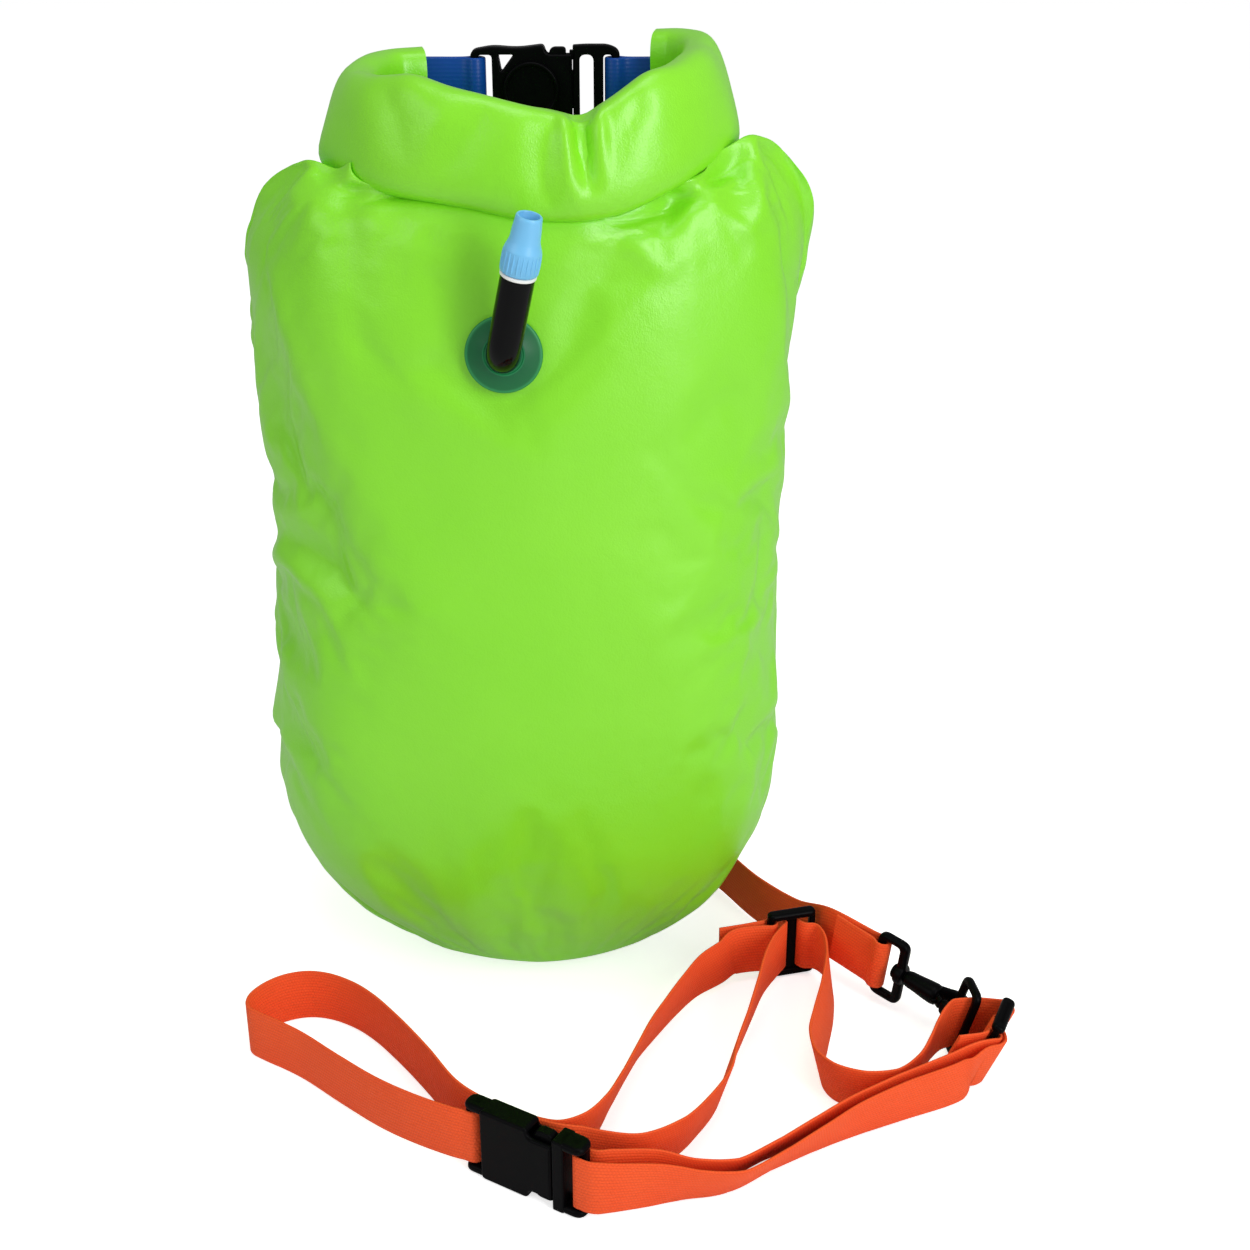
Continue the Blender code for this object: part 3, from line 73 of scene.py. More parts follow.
def linear(code):
    """An sRGB hex colour as linear RGBA."""
    parts = [int(code[i:i + 2], 16) / 255 for i in (1, 3, 5)]
    return (*(c / 12.92 if c <= 0.04045 else ((c + 0.055) / 1.055) ** 2.4 for c in parts), 1)


def put(tree, kind, inputs=None, **settings):
    """Adds a node and gives its outputs; each input is a value or another node's output."""
    made = tree.nodes.new(kind)
    for name, value in settings.items():
        setattr(made, name, value)
    for name, value in (inputs or {}).items():
        if isinstance(value, bpy.types.NodeSocket):
            tree.links.new(value, made.inputs[name])
        else:
            made.inputs[name].default_value = value
    return made.outputs


def reckon(tree, operation, *values):
    """The result of a sum on values or outputs."""
    return put(tree, "ShaderNodeMath", dict(enumerate(values)), operation=operation)[0]


def noise(tree, place, scale, detail):
    """Noise between 0 and 1 at a place."""
    return put(tree, "ShaderNodeTexNoise", {"Vector": place, "Scale": scale, "Detail": detail})["Fac"]


def blend(tree, share, low, high):
    """A colour between two colours."""
    return put(tree, "ShaderNodeMix", {"Factor": share, 6: low, 7: high}, data_type="RGBA")[2]


def embossed(tree, shader, height, strength, distance):
    """Gives a shader a relief that follows a height."""
    bump = put(tree, "ShaderNodeBump", {"Height": height, "Strength": strength, "Distance": distance})
    tree.links.new(bump["Normal"], shader.inputs["Normal"])


def new_material(name, **sockets):
    """A Principled material with its uniform values set on the shader's own sockets."""
    material = bpy.data.materials.new(name)
    material.use_nodes = True
    shader = material.node_tree.nodes["Principled BSDF"]
    for socket, value in sockets.items():
        shader.inputs[socket.replace("_", " ")].default_value = value
    return material, material.node_tree, shader


def woven_polypropylene():
    """Dyed polypropylene yarn in a plain weave: dull, with a soft sheen at grazing light.

    The real ribs are 0.8 mm apart, which is too fine for this view, so they are drawn 1.3 mm apart.
    Warp yarns are 1.5 mm wide, and each one's ribs sit half a step from its neighbour's.
    """
    material, tree, shader = new_material("woven_polypropylene", Roughness=0.78, IOR=1.49,
                                          Sheen_Weight=0.2, Sheen_Roughness=0.4,
                                          Sheen_Tint=linear("#FF9A66"))
    along, across = (put(tree, "ShaderNodeAttribute", attribute_name=name)["Fac"]
                     for name in ("along", "across"))
    yarn = reckon(tree, "MULTIPLY", across, 1 / 0.0015)
    shift = reckon(tree, "MULTIPLY", reckon(tree, "FLOOR", yarn), 0.5)
    step = reckon(tree, "MULTIPLY_ADD", along, 1 / 0.0013, shift)
    rib = reckon(tree, "SINE", reckon(tree, "MULTIPLY", step, math.tau))
    ridge = reckon(tree, "ABSOLUTE", reckon(tree, "SINE", reckon(tree, "MULTIPLY", yarn, math.pi)))
    height = reckon(tree, "MULTIPLY_ADD", rib, 0.35, ridge)
    place = put(tree, "ShaderNodeTexCoord")["Object"]
    # Painted shade: the orange darkens from the weave's ridges into its valleys, following the relief's
    # height.
    shade = put(tree, "ShaderNodeMapRange", {"Value": height, "From Min": -0.2, "From Max": 1.2})["Result"]
    shaded_weave = blend(tree, shade, linear("#E0400E"), linear("#FF5A1A"))
    faded = blend(tree, noise(tree, place, 60, 3), linear("#F64E14"), linear("#FF6426"))
    tree.links.new(blend(tree, 0.45, shaded_weave, faded), shader.inputs["Base Color"])
    fuzz = reckon(tree, "MULTIPLY_ADD", noise(tree, place, 1400, 2), 0.3, height)
    embossed(tree, shader, fuzz, 0.55, 0.00025)
    return material


def catmull(points, counts):
    """Centripetal Catmull-Rom through points, or rows of points, with so many steps in each span."""
    ends = np.concatenate([[2 * points[0] - points[1]], points, [2 * points[-1] - points[-2]]])
    line = [points[0]]
    for p0, p1, p2, p3, count in zip(ends, ends[1:], ends[2:], ends[3:], counts):
        t1, t2, t3 = np.cumsum([np.linalg.norm(b - a, axis=-1, keepdims=True) ** 0.5 + 1e-9
                                for a, b in ((p0, p1), (p1, p2), (p2, p3))], axis=0)
        for k in range(1, count + 1):
            t = t1 + (t2 - t1) * k / count
            a1 = p0 * ((t1 - t) / t1) + p1 * (t / t1)
            a2 = p1 * ((t2 - t) / (t2 - t1)) + p2 * ((t - t1) / (t2 - t1))
            a3 = p2 * ((t3 - t) / (t3 - t2)) + p3 * ((t - t2) / (t3 - t2))
            b1 = a1 * ((t2 - t) / t2) + a2 * (t / t2)
            b2 = a2 * ((t3 - t) / (t3 - t1)) + a3 * ((t - t1) / (t3 - t1))
            line.append(b1 * ((t2 - t) / (t2 - t1)) + b2 * ((t - t1) / (t2 - t1)))
    return np.array(line)


def strap_line(stations, step=0.0016):
    """Centres of a strap through its stations, and the direction of its width at each.

    A station is a place in mm and, in hundredths, how far the strap's upper edge leans in X and Y;
    a strap that stands upright there gives the place alone.
    """
    table = np.array([(*station, 0, 0)[:5] for station in stations], float)
    places, lean = table[:, :3] / 1000, table[:, 3:] / 100
    ups = np.column_stack([lean, np.sqrt(1 - (lean ** 2).sum(axis=1))])
    counts = np.maximum(1, np.ceil(np.linalg.norm(np.diff(places, axis=0), axis=1) / step)).astype(int)
    line = catmull(places, counts)
    spread = [ups[0]]
    for a, b, count in zip(ups, ups[1:], counts):
        spread += [a + (b - a) * k / count for k in range(1, count + 1)]
    along = np.gradient(line, axis=0)
    wide = np.cross(np.cross(along, spread), along)
    wide /= np.linalg.norm(wide, axis=1, keepdims=True)
    # Where an edge would sink into the floor, the strap is raised by as much
    lowest = line[:, 2] - wide[:, 2] * STRAP_WIDTH / 2 - STRAP_THICKNESS / 2 * np.abs(wide[:, 1])
    line[:, 2] -= np.minimum(0, lowest)
    return line, wide


def geometry_tree(name, result, **inputs):
    """An empty Geometry Nodes tree and its inputs; each is given by its kind or its usual number."""
    tree = bpy.data.node_groups.new(name, "GeometryNodeTree")
    for label, value in inputs.items():
        kind = value if isinstance(value, str) else "Int" if isinstance(value, int) else "Float"
        made = tree.interface.new_socket(label, in_out="INPUT", socket_type="NodeSocket" + kind)
        if kind != value:
            made.default_value = value
    tree.interface.new_socket(result, in_out="OUTPUT", socket_type="NodeSocketGeometry")
    return tree, put(tree, "NodeGroupInput")


def hand_out(tree, result, geometry, material):
    """Ends a tree: its instances made real, its material set."""
    geometry = put(tree, "GeometryNodeRealizeInstances", {"Geometry": geometry})[0]
    geometry = put(tree, "GeometryNodeSetMaterial", {"Geometry": geometry, "Material": material})[0]
    put(tree, "NodeGroupOutput", {result: geometry})
    return tree


def webbing_tree():
    """Geometry Nodes: sweeps a strap's section along its centres and keeps where each point is on it."""
    tree, given = geometry_tree("webbing", "Strap", Centres="Geometry", Width=STRAP_WIDTH,
                                Thickness=STRAP_THICKNESS, Fabric="Material")
    line = put(tree, "GeometryNodeMeshToCurve", {"Mesh": given["Centres"]})[0]
    wide = put(tree, "GeometryNodeInputNamedAttribute", {"Name": "wide"}, data_type="FLOAT_VECTOR")[0]
    line = put(tree, "GeometryNodeSetCurveNormal", {"Curve": line, "Normal": wide}, mode="FREE")[0]
    section = put(tree, "GeometryNodeCurvePrimitiveQuadrilateral",
                  {"Width": given["Width"], "Height": given["Thickness"]})[0]
    soft = reckon(tree, "MULTIPLY", given["Thickness"], 0.42)
    section = put(tree, "GeometryNodeFilletCurve", {"Curve": section, "Radius": soft, "Count": 2},
                  mode="POLY")[0]
    far = put(tree, "GeometryNodeSplineParameter")["Length"]
    across = put(tree, "ShaderNodeSeparateXYZ", {0: put(tree, "GeometryNodeInputPosition")[0]})["X"]
    line, section = (put(tree, "GeometryNodeStoreNamedAttribute",
                         {"Geometry": curve, "Name": name, "Value": value},
                         data_type="FLOAT", domain="POINT")[0]
                     for curve, name, value in ((line, "along", far), (section, "across", across)))
    swept = put(tree, "GeometryNodeCurveToMesh",
                {"Curve": line, "Profile Curve": section, "Fill Caps": True})[0]
    return hand_out(tree, "Strap", swept, given["Fabric"])


def baked(seed):
    """The plain mesh that an object shows."""
    return bpy.data.meshes.new_from_object(seed.evaluated_get(bpy.context.evaluated_depsgraph_get()))


def grown(name, mesh, tree, **inputs):
    """The plain mesh that a node tree makes of a seed mesh, as an object."""
    seed = linked(name, mesh)
    change = seed.modifiers.new("grow", "NODES")
    change.node_group = tree
    for item in tree.interface.items_tree:
        if item.item_type == "SOCKET" and item.in_out == "INPUT" and item.name in inputs:
            change[item.identifier] = inputs[item.name]
    made = baked(seed)
    seed.modifiers.clear()
    seed.data = made
    made.name = name
    bpy.data.meshes.remove(mesh)
    return seed


def shaded(mesh, angle):
    """Smooth shading, with edges sharper than an angle in degrees kept sharp."""
    mesh.shade_smooth()
    mesh.set_sharp_from_angle(angle=math.radians(angle))


def stands_for(made, body, slot, *nodes):
    """Sets a piece on its body, in place of its solids; its slot of the material list is not used."""
    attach(made, body)
    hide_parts(*nodes)
    return made


def strap(name, stations, fabric, **sizes):
    """A strap's object through its stations, the line of its centres and the way its width lies."""
    line, wide = strap_line(stations)
    mesh = bpy.data.meshes.new(name + "_centres")
    mesh.from_pydata(line.tolist(), [(i, i + 1) for i in range(len(line) - 1)], [])
    mesh.attributes.new("wide", "FLOAT_VECTOR", "POINT").data.foreach_set("vector", wide.ravel())
    made = grown(name, mesh, strap_tree, Fabric=fabric, **sizes)
    shaded(made.data, 50)
    return made, line, wide


strap_tree = webbing_tree()
orange_webbing = woven_polypropylene()
tether, tether_line, tether_wide = strap("tether", (
    (7.8, 75.1, 48.68, 0, 36.8), (-3.2, 75.32, 48.68, 0, 36.8), (-14.2, 74.71, 48.65, 0, 37.3),
    (-23, 73.6, 48.61, 0, 38.1), (-44, 85, 42), (-64, 90, 31), (-84, 99, 18), (-88, 117, 13),
    (-70, 130, 12.8), (-36, 132, 12.8), (6, 124, 12.8), (44, 104, 13), (72, 72, 13.2), (92, 40, 13.6),
    (108, 12, 14.2), (127, -12, 16), (140.43, -32.67, 24.97, 9.2, -8), (149.86, -39.99, 23.5, 9.2, -8),
    (157.15, -45.36, 22.4, 9.2, -8), (159.39, -45.69, 22.16, 9.2, -8), (161.04, -47.25, 21.88, 9.2, -8),
    (161.48, -49.47, 21.66, 9.2, -8), (160.57, -51.56, 21.58, 9.2, -8), (158.63, -52.76, 21.66, 9.2, -8),
    (156.36, -52.63, 21.88, 9.2, -8), (154.59, -51.22, 22.16, 9.2, -8), (153.95, -49.04, 22.4, 9.2, -8),
    (147.62, -42.57, 23.5, 9.2, -8), (139, -34.32, 24.97, 9.2, -8),
), orange_webbing)
stands_for(tether, "bag", "belt_webbing", "tether_webbing")

# Waist belt. One length of the same webbing, laid on its edge on the floor. It is sewn at the left
# slider, loops out to the left, passes through both sliders, the ring and the buckle, and is sewn
# again at the right slider.

# How the strap leans where it goes through the right slider
TILT = 31.3, -13.7
BELT_RUNS = {
    "belt_left_loop": ("webbing_left_loop", (
        (86.73, -34.22, 17), (98.31, -31.04, 17), (108.1, -27.71, 17), (109.24, -26.88, 17),
        (110.62, -26.68, 17), (111.95, -27.15, 17), (112.9, -28.18, 17), (113.26, -29.53, 17),
        (112.95, -30.9, 17), (112.04, -31.96, 17), (110.74, -32.48, 17), (109.34, -32.33, 17),
        (101.31, -32.99, 17), (93.32, -35.62, 17), (88, -40, 15.21, 3.3, -4.1), (77, -49, 13.84, 9, -8.2),
        (68, -62, 12.85, 16.3, -10), (58, -80, 12.24, 22.8, -12.2), (52, -92, 12.14, 26.9, -11.5),
        (46, -108, 12.09, 29, -10.6), (40, -125, 12.09, 29, -10.6), (34, -141, 12.24, 23.5, -10.9),
        (27, -153, 12.45, 11.5, -10.6), (18, -158.5, 12.51, 1.4, -6.8), (8, -157, 12.5), (-2, -152, 12.5),
        (-14, -145, 12.5), (-25, -135, 12.5), (-38, -115, 12.5), (-47, -102, 12.5), (-56, -90, 12.5),
        (-66, -78, 12.5), (-76, -69, 12.5), (-88, -62.5, 12.5), (-98, -61, 12.5), (-108, -64, 12.5),
        (-116, -71, 12.5), (-120, -79, 12.5), (-119, -86, 12.5), (-112, -91.5, 12.5), (-103, -97, 12.5),
        (-93, -104, 12.5), (-75, -120, 12.95), (-57, -136, 14.3), (-41, -148, 16.1), (-24.98, -156.94, 17),
        (-20.16, -158.7, 17), (-18.57, -159.47, 17), (-15.52, -160.36, 17), (-13.41, -159.13, 17),
    )),
    "belt_return": ("webbing_return", (
        (-13.1, -158.61, 17), (-11.69, -157.26, 17), (-10.25, -156.3, 17), (-8.82, -154.39, 17),
        (-7.52, -154.66, 17), (0.78, -159.29, 17), (9.46, -163.77, 17), (19.94, -167.15, 17),
        (28, -166.5, 15.65, -0.2, -7), (49, -167, 14.25, 4.7, -16.7), (65, -156, 13.19, 18.1, -18.5),
        (76, -140.5, 12.19, 23.4, -14.6), (84, -125.5, 12.19, 25.8, -9.6), (88.5, -107, 12.29, 23.3, -6.5),
        (94.5, -88, 12.83, 19.8, -6.2), (101, -67, 14.28, 13.3, -4.2), (106.5, -50, 16.1, 6.6, -2.1),
        (111.48, -39.64, 17), (114.92, -33.54, 17), (117.61, -28.68, 17), (117.17, -27.72, 17),
        (117.1, -26.66, 17), (117.41, -25.65, 17), (118.06, -24.82, 17), (118.96, -24.27, 17),
    )),
    "belt_centre": ("webbing_centre", (
        (119.54, -24.12, 17), (120.49, -24.12, 17), (121.4, -24.43, 17), (122.15, -25.02, 17),
        (122.67, -25.82, 17), (122.91, -26.75, 17), (125.99, -30.05, 17), (130.78, -30.53, 17),
        (134.5, -36, 16.55, -6.9, -0.9), (136, -48, 15.19, -13.9, 0.5), (133.5, -66, 13.75, -20.4, 4),
        (128.5, -86, 12.76, -23.5, 5.7), (125, -101, 12.29, -24.1, 2.2), (126, -113, 12.29, -22.9, -7.8),
        (132, -121.5, 12.29, -14.7, -19.2), (143, -126, 12.29, -3.1, -24),
        (155, -124.5, 12.29, 10.2, -21.9), (164.5, -116, 13.23, 18.3, -15.8),
        (170.5, -106.5, 14.68, 17.8, -10.8), (175.5, -97.8, 16.09, 13.1, -8.5), (180.8, -90.6, 17, 7, -5.2),
        (184.68, -87.46, 17), (190, -86.5, 17), (195.4, -86.14, 17), (205.48, -86.55, 16.49, *TILT),
        (205.97, -89.17, 15.94, *TILT), (205.69, -91.23, 15.73, *TILT), (200.09, -96.55, 16.83, *TILT),
        (199.27, -96.19, 17.15, *TILT), (198.37, -96.12, 17.46, *TILT), (197.48, -96.36, 17.72, *TILT),
        (196.7, -96.88, 17.91, *TILT), (196.12, -97.63, 17.99, *TILT),
    )),
    "belt_front": ("webbing_front", (
        (195.88, -98.18, 17.99, *TILT), (195.73, -99.12, 17.91, *TILT), (195.87, -100.05, 17.72, *TILT),
        (196.3, -100.86, 17.46, *TILT), (196.96, -101.48, 17.15, *TILT), (197.79, -101.83, 16.83, *TILT),
        (199.17, -106.49, 15.69, *TILT), (198.91, -110.09, 15.25, *TILT), (195.87, -113.67, 15.74, *TILT),
        (190.32, -117.25, 17.07, *TILT), (184.5, -122.5, 15.19, 5.6, -12.8),
        (157, -134.5, 13.29, 8.6, -18.9), (137, -144.2, 12.09, 15, -27), (121, -154.5, 11.52, 24.3, -36.5),
        (105, -165.5, 10.95, 30.1, -43.6), (87, -178, 10.84, 22.1, -49.8), (69, -181.5, 12.22, 8.3, -39.8),
        (56, -184.5, 14.68, 4.7, -20.3), (33.56, -188.9, 17), (29.16, -188.07, 17), (26.43, -186.51, 17),
        (24.27, -185.13, 17), (24.4, -183.39, 17), (25.03, -182.22, 17),
    )),
    "belt_rear": ("webbing_rear", (
        (25.34, -181.71, 17), (26.07, -180.61, 17), (27.55, -179.67, 17), (29.77, -180.93, 17),
        (32.89, -181.86, 17), (38.08, -181.38, 17), (55.5, -176.5, 14.68, 2.4, -20.7),
        (68.5, -175, 12.22, 7.2, -40), (85, -171.2, 10.84, 22.3, -49.7), (102, -160, 10.95, 29.1, -44.3),
        (118, -149.5, 11.52, 23.3, -37.1), (134.5, -139.6, 12.09, 14.7, -27.2),
        (154.5, -129.8, 13.7, 10.2, -21.9), (179, -118.8, 17, 11.3, -25.1), (187.62, -114.98, 18.3, *TILT),
        (194.74, -111.03, 16.5, *TILT), (196, -110.52, 16.15, *TILT), (196.91, -109.47, 16, *TILT),
        (197.27, -108.11, 16.08, *TILT), (196.99, -106.77, 16.37, *TILT), (196.13, -105.75, 16.81, *TILT),
        (194.9, -105.28, 17.29, *TILT), (193.57, -105.48, 17.7, *TILT), (192.46, -106.3, 17.95, *TILT),
        (191.82, -107.55, 17.98, *TILT), (188.59, -109.95, 18.71, *TILT), (184.06, -112.33, 19.87, *TILT),
        (178.27, -115.26, 21.38, *TILT),
    )),
}
for name, (node, stations) in BELT_RUNS.items():
    stands_for(strap(name, stations, orange_webbing)[0], "belt", "belt_webbing", node)

# Inflated bag. Two panels of polyurethane-coated nylon, welded together round their edges and blown
# up, so the skin is drum-tight in the middle and puckers along the side welds and under the collar.
# It stands on a small flat of its own weight.

# Half width, half depth, height to the shoulder, and how far back the welds lie
WIDE, DEEP, TALL, SETBACK = 0.115, 0.077, 0.335, 0.006
# Where the valve and the tether's patch are, as X and Z
VALVE_SPOT, PATCH_SPOT = (-0.0017, 0.309), (-0.012, 0.050)
# Up the bag: height, half width, half depth and sideways place, as shares of the three sizes
BAG_PROFILE = np.array((
    (0.000, 0.24, 0.27, 0.050), (0.012, 0.335, 0.36, 0.045), (0.036, 0.485, 0.51, 0.028),
    (0.080, 0.675, 0.70, 0.002), (0.130, 0.825, 0.84, -0.004), (0.185, 0.945, 0.92, -0.006),
    (0.250, 1.012, 0.97, -0.010), (0.400, 1.018, 1.00, -0.003), (0.530, 0.968, 1.00, 0.016),
    (0.670, 0.943, 0.99, 0.026), (0.780, 0.955, 0.98, 0.022), (0.870, 0.984, 0.97, 0.024),
    (0.950, 1.012, 0.94, 0.022), (1.000, 1.020, 0.90, 0.030)))
# The collar's middle line from its left end round the front to its right end
COLLAR_ROUTE = np.array((
    (-0.330, 0.28, 0.060), (-0.440, 0.24, 0.055), (-0.515, 0.12, 0.045), (-0.530, -0.05, 0.035),
    (-0.460, -0.22, 0.033), (-0.320, -0.36, 0.028), (-0.110, -0.44, 0.010), (0.110, -0.465, -0.024),
    (0.330, -0.44, -0.012), (0.500, -0.35, 0.052), (0.610, -0.19, 0.100), (0.660, -0.02, 0.110),
    (0.645, 0.15, 0.125), (0.570, 0.25, 0.125), (0.490, 0.28, 0.120))) * WIDE + (0, 0, 0.380)
# Half height and half thickness of the roll, how square its section is and how it leans, and how
# closely the skin follows it out and up
ROLL_TALL, ROLL_THICK, ROLL_SQUARE, ROLL_LEAN = 0.0215, 0.0105, 0.6, math.radians(9)
ROLL_EASE, ROLL_TUCK = -0.0003, 0.0028
# Quads across a panel
COLUMNS = 84


def along_collar(shares):
    """Places on the collar's middle line at shares of its length, and level directions out of it."""
    line = catmull(COLLAR_ROUTE, [12] * (len(COLLAR_ROUTE) - 1))
    gone = np.concatenate([[0], np.cumsum(np.linalg.norm(np.diff(line, axis=0), axis=1))])
    at = np.asarray(shares) * gone[-1]
    places = np.stack([np.interp(at, gone, line[:, k]) for k in range(3)], axis=-1)
    before, after = (np.stack([np.interp(at + d, gone, line[:, k]) for k in range(3)], axis=-1)
                     for d in (-0.003, 0.003))
    way = after - before
    out = np.stack([way[..., 1], -way[..., 0], 0 * way[..., 0]], axis=-1)
    return places, out / np.linalg.norm(out, axis=-1, keepdims=True)


def leaned(places, out, across, up):
    """Places beside the collar's middle line; the roll leans in at its top and out at its foot."""
    spread, rise = math.cos(ROLL_LEAN), math.sin(ROLL_LEAN)
    return (places + out * (across * spread - up * rise)[..., None]
            + np.array((0, 0, 1)) * (up * spread + across * rise)[..., None])


def control_rows(side):
    """Rows of one panel from the bottom weld up to the collar, far apart; side is -1 at the front."""
    u = np.linspace(0, 1, COLUMNS + 1)
    rows = []
    sizes = [(BAG_PROFILE[0], 0.72, 0.0), (BAG_PROFILE[0], 0.86, 0.5)] + [(row, 1, 1) for row in BAG_PROFILE]
    for (share, wide, deep, aside), narrow, shallow in sizes:
        rows.append(np.stack([WIDE * (aside - wide * narrow * np.cos(np.pi * u)),
                              SETBACK + side * DEEP * deep * shallow * np.sin(np.pi * u),
                              np.full_like(u, TALL * share)], axis=-1))
    places, out = along_collar(0.28 + 0.45 * u * u * (3 - 2 * u))
    climb = np.radians(82 * np.maximum(0, (np.abs(2 * u - 1) - 0.5) / 0.5) ** 1.25)
    flare = 0.0025 * (1 - u) * np.sin(climb) ** 2
    over = (ROLL_THICK + ROLL_EASE + flare) * np.sin(climb) ** ROLL_SQUARE
    under = (ROLL_TALL - ROLL_TUCK) * np.cos(climb) ** ROLL_SQUARE
    top = leaned(places, out, over, -under)
    shoulder = rows[-1]
    inward, upward = 0.80 + 0.35 * u, 1.10 - 0.25 * u
    for w in np.arange(1, 6) / 5:
        row = shoulder + (top - shoulder) * ((1 - math.cos(w * math.pi / 2)) ** inward)[:, None]
        rise = 0.007 * math.sin(math.pi * w) * np.sin(np.pi * u) * (side > 0)
        row[:, 2] = shoulder[:, 2] + (top - shoulder)[:, 2] * math.sin(w * math.pi / 2) ** upward + rise
        rows.append(row)
    return np.array(rows)


def quads(number):
    """Quads between the neighbours in a grid of point numbers."""
    return np.stack([number[..., :-1, :-1], number[..., :-1, 1:], number[..., 1:, 1:],
                     number[..., 1:, :-1]], axis=-1)


def bag_mesh():
    """Both panels as one closed skin of quads, welded along the bottom, the sides and the collar.

    Also gives each point's number as [panel, row, column], and the shoulder's row, for the layers
    built on its inside.
    """
    coarse = [control_rows(side) for side in (-1, 1)]
    spans = sum(np.linalg.norm(np.diff(rows[:, COLUMNS // 2], axis=0), axis=1) for rows in coarse) / 2
    counts = np.maximum(1, np.round(spans / 0.0036)).astype(int)
    points = np.array([catmull(rows, counts) for rows in coarse])
    points[..., 2] = np.maximum(points[..., 2], 0)
    number = np.arange(points[..., 0].size).reshape(points.shape[:3])
    for edge in (0, -1):
        number[1, edge] = number[0, edge]
        number[1, :, edge] = number[0, :, edge]
    used, number = np.unique(number, return_inverse=True)
    number = number.reshape(points.shape[:3])
    faces = quads(number)
    faces[1] = faces[1, ..., ::-1]
    mesh = bpy.data.meshes.new("bag_skin")
    mesh.from_pydata(points.reshape(-1, 3)[used].tolist(), [], faces.reshape(-1, 4).tolist())
    return mesh, number, counts[:-5].sum()


# Creases of the bag, read from the photograph: depth and half width in mm, then the places in mm that
# each one runs through. It is deepest at its first place. A negative depth stands proud.
BAG_CREASES = (
    (5, 5, (-54, -30, 359.5), (-59.3, -37.5, 360.1), (-57.4, -43.3, 353.1), (-56.3, -49.2, 346.2)),
    (8, 5, (-54, -37, 362), (-46, -41, 359.5), (-33, -46, 357.6), (-20, -50, 356.5)),
    (5, 5, (61.1, -43.7, 361.4), (59.6, -50.8, 354.7), (56.6, -54.2, 348.5)),
    (8, 5, (64, -42, 362), (51, -51.5, 357.1), (39.9, -54.9, 355.6)),
    (3, 4, (-71.5, -27.3, 371.8), (-80.5, -20.3, 364.9), (-88.3, -13.7, 358.3)),
    (4, 4, (68, -39.4, 362.4), (77.3, -36.8, 371.1), (89.1, -26.3, 374.7), (100.1, -19.3, 367)),
    (-2, 4, (90, -23.2, 379.7), (95.2, -19.8, 375.4), (98.4, -20, 368.7)),
    (1.2, 7, (38.8, -57.2, 352.5), (37.3, -60.9, 331.7)), (1.5, 8, (71.6, -47, 352.8), (73.9, -50.3, 325.1)),
    (1, 6, (-5.4, -57.5, 354), (-6.9, -62.2, 342.5)), (1, 5, (-40.1, -49.4, 355.2), (-41.4, -55.2, 345.3)),
    (5, 5, (112, 2, 262), (105, -19.7, 260.4), (97.3, -31, 257.5), (84, -43, 255.5)),
    (5, 5, (-107, 4, 210), (-103.9, -5.4, 214), (-94.8, -26.3, 219), (-80, -42.5, 213.5)),
    (6, 6, (-113.5, -2, 111), (-112.1, -15.9, 110.8), (-102.4, -31, 111.2), (-92.7, -40.9, 102.9)),
    (5.5, 5, (115, 0, 123), (111.6, -12.9, 124.4), (102.4, -29, 126.6), (94, -38, 126.7)),
    (1.2, 6, (75.7, -51.5, 114.5), (91.3, -40.5, 113.1)),
    (-1.5, 8, (-114.6, -2.6, 130.5), (-111, -14.2, 133.1)),
    (1, 5, (61.5, -43.2, 44.2), (65.9, -19.3, 22.9)),
)


# Where the ears beside the collar sag: place, reach and push, all in mm
BAG_PUSHES = ((-65, -34, 378, 12, 0, 5, -9), (-82, -21, 371, 13, 3, 0, -3), (77, -33, 380, 12, 0, 5, -9),
              (95, -25, 373, 13, -3, 0, -3))


def pressed(points, normals, creases):
    """Points pushed in along their normals near each crease, which fades toward its last place.

    A crease is sharp at its bottom, and the skin beside it swells a little.
    """
    moved = points.copy()
    for depth, breadth, *places in creases:
        line = catmull(np.array(places, float) / 1000, [6] * (len(places) - 1))
        gaps = np.linalg.norm(points[:, None] - line[None], axis=2)
        near = gaps.argmin(axis=1)
        fade = 1 - 0.75 * (near / (len(line) - 1)) ** 2
        away = gaps[np.arange(len(points)), near] / (breadth / 1000)
        push = depth / 1000 * fade * (np.exp(-away ** 1.35) - 0.16 * np.exp(-(away - 2.2) ** 2))
        moved -= normals * push[:, None]
    return moved


def pushed(points, pushes):
    """Points moved by soft pushes that fade with the distance."""
    moved = points.copy()
    for x, y, z, reach, *push in pushes:
        away = np.linalg.norm(points - np.array((x, y, z)) / 1000, axis=1) / (reach / 1000)
        moved += np.exp(-away ** 1.6)[:, None] * np.array(push) / 1000
    return moved


def mesh_arrays(mesh):
    """A mesh's points and their normals."""
    flat, turned = np.zeros(len(mesh.vertices) * 3), np.zeros(len(mesh.vertices) * 3)
    mesh.vertices.foreach_get("co", flat)
    mesh.vertex_normals.foreach_get("vector", turned)
    return flat.reshape(-1, 3), turned.reshape(-1, 3)


def shape_mesh(mesh, points):
    """Moves a mesh's points to new places."""
    mesh.vertices.foreach_set("co", points.ravel())
    mesh.update()


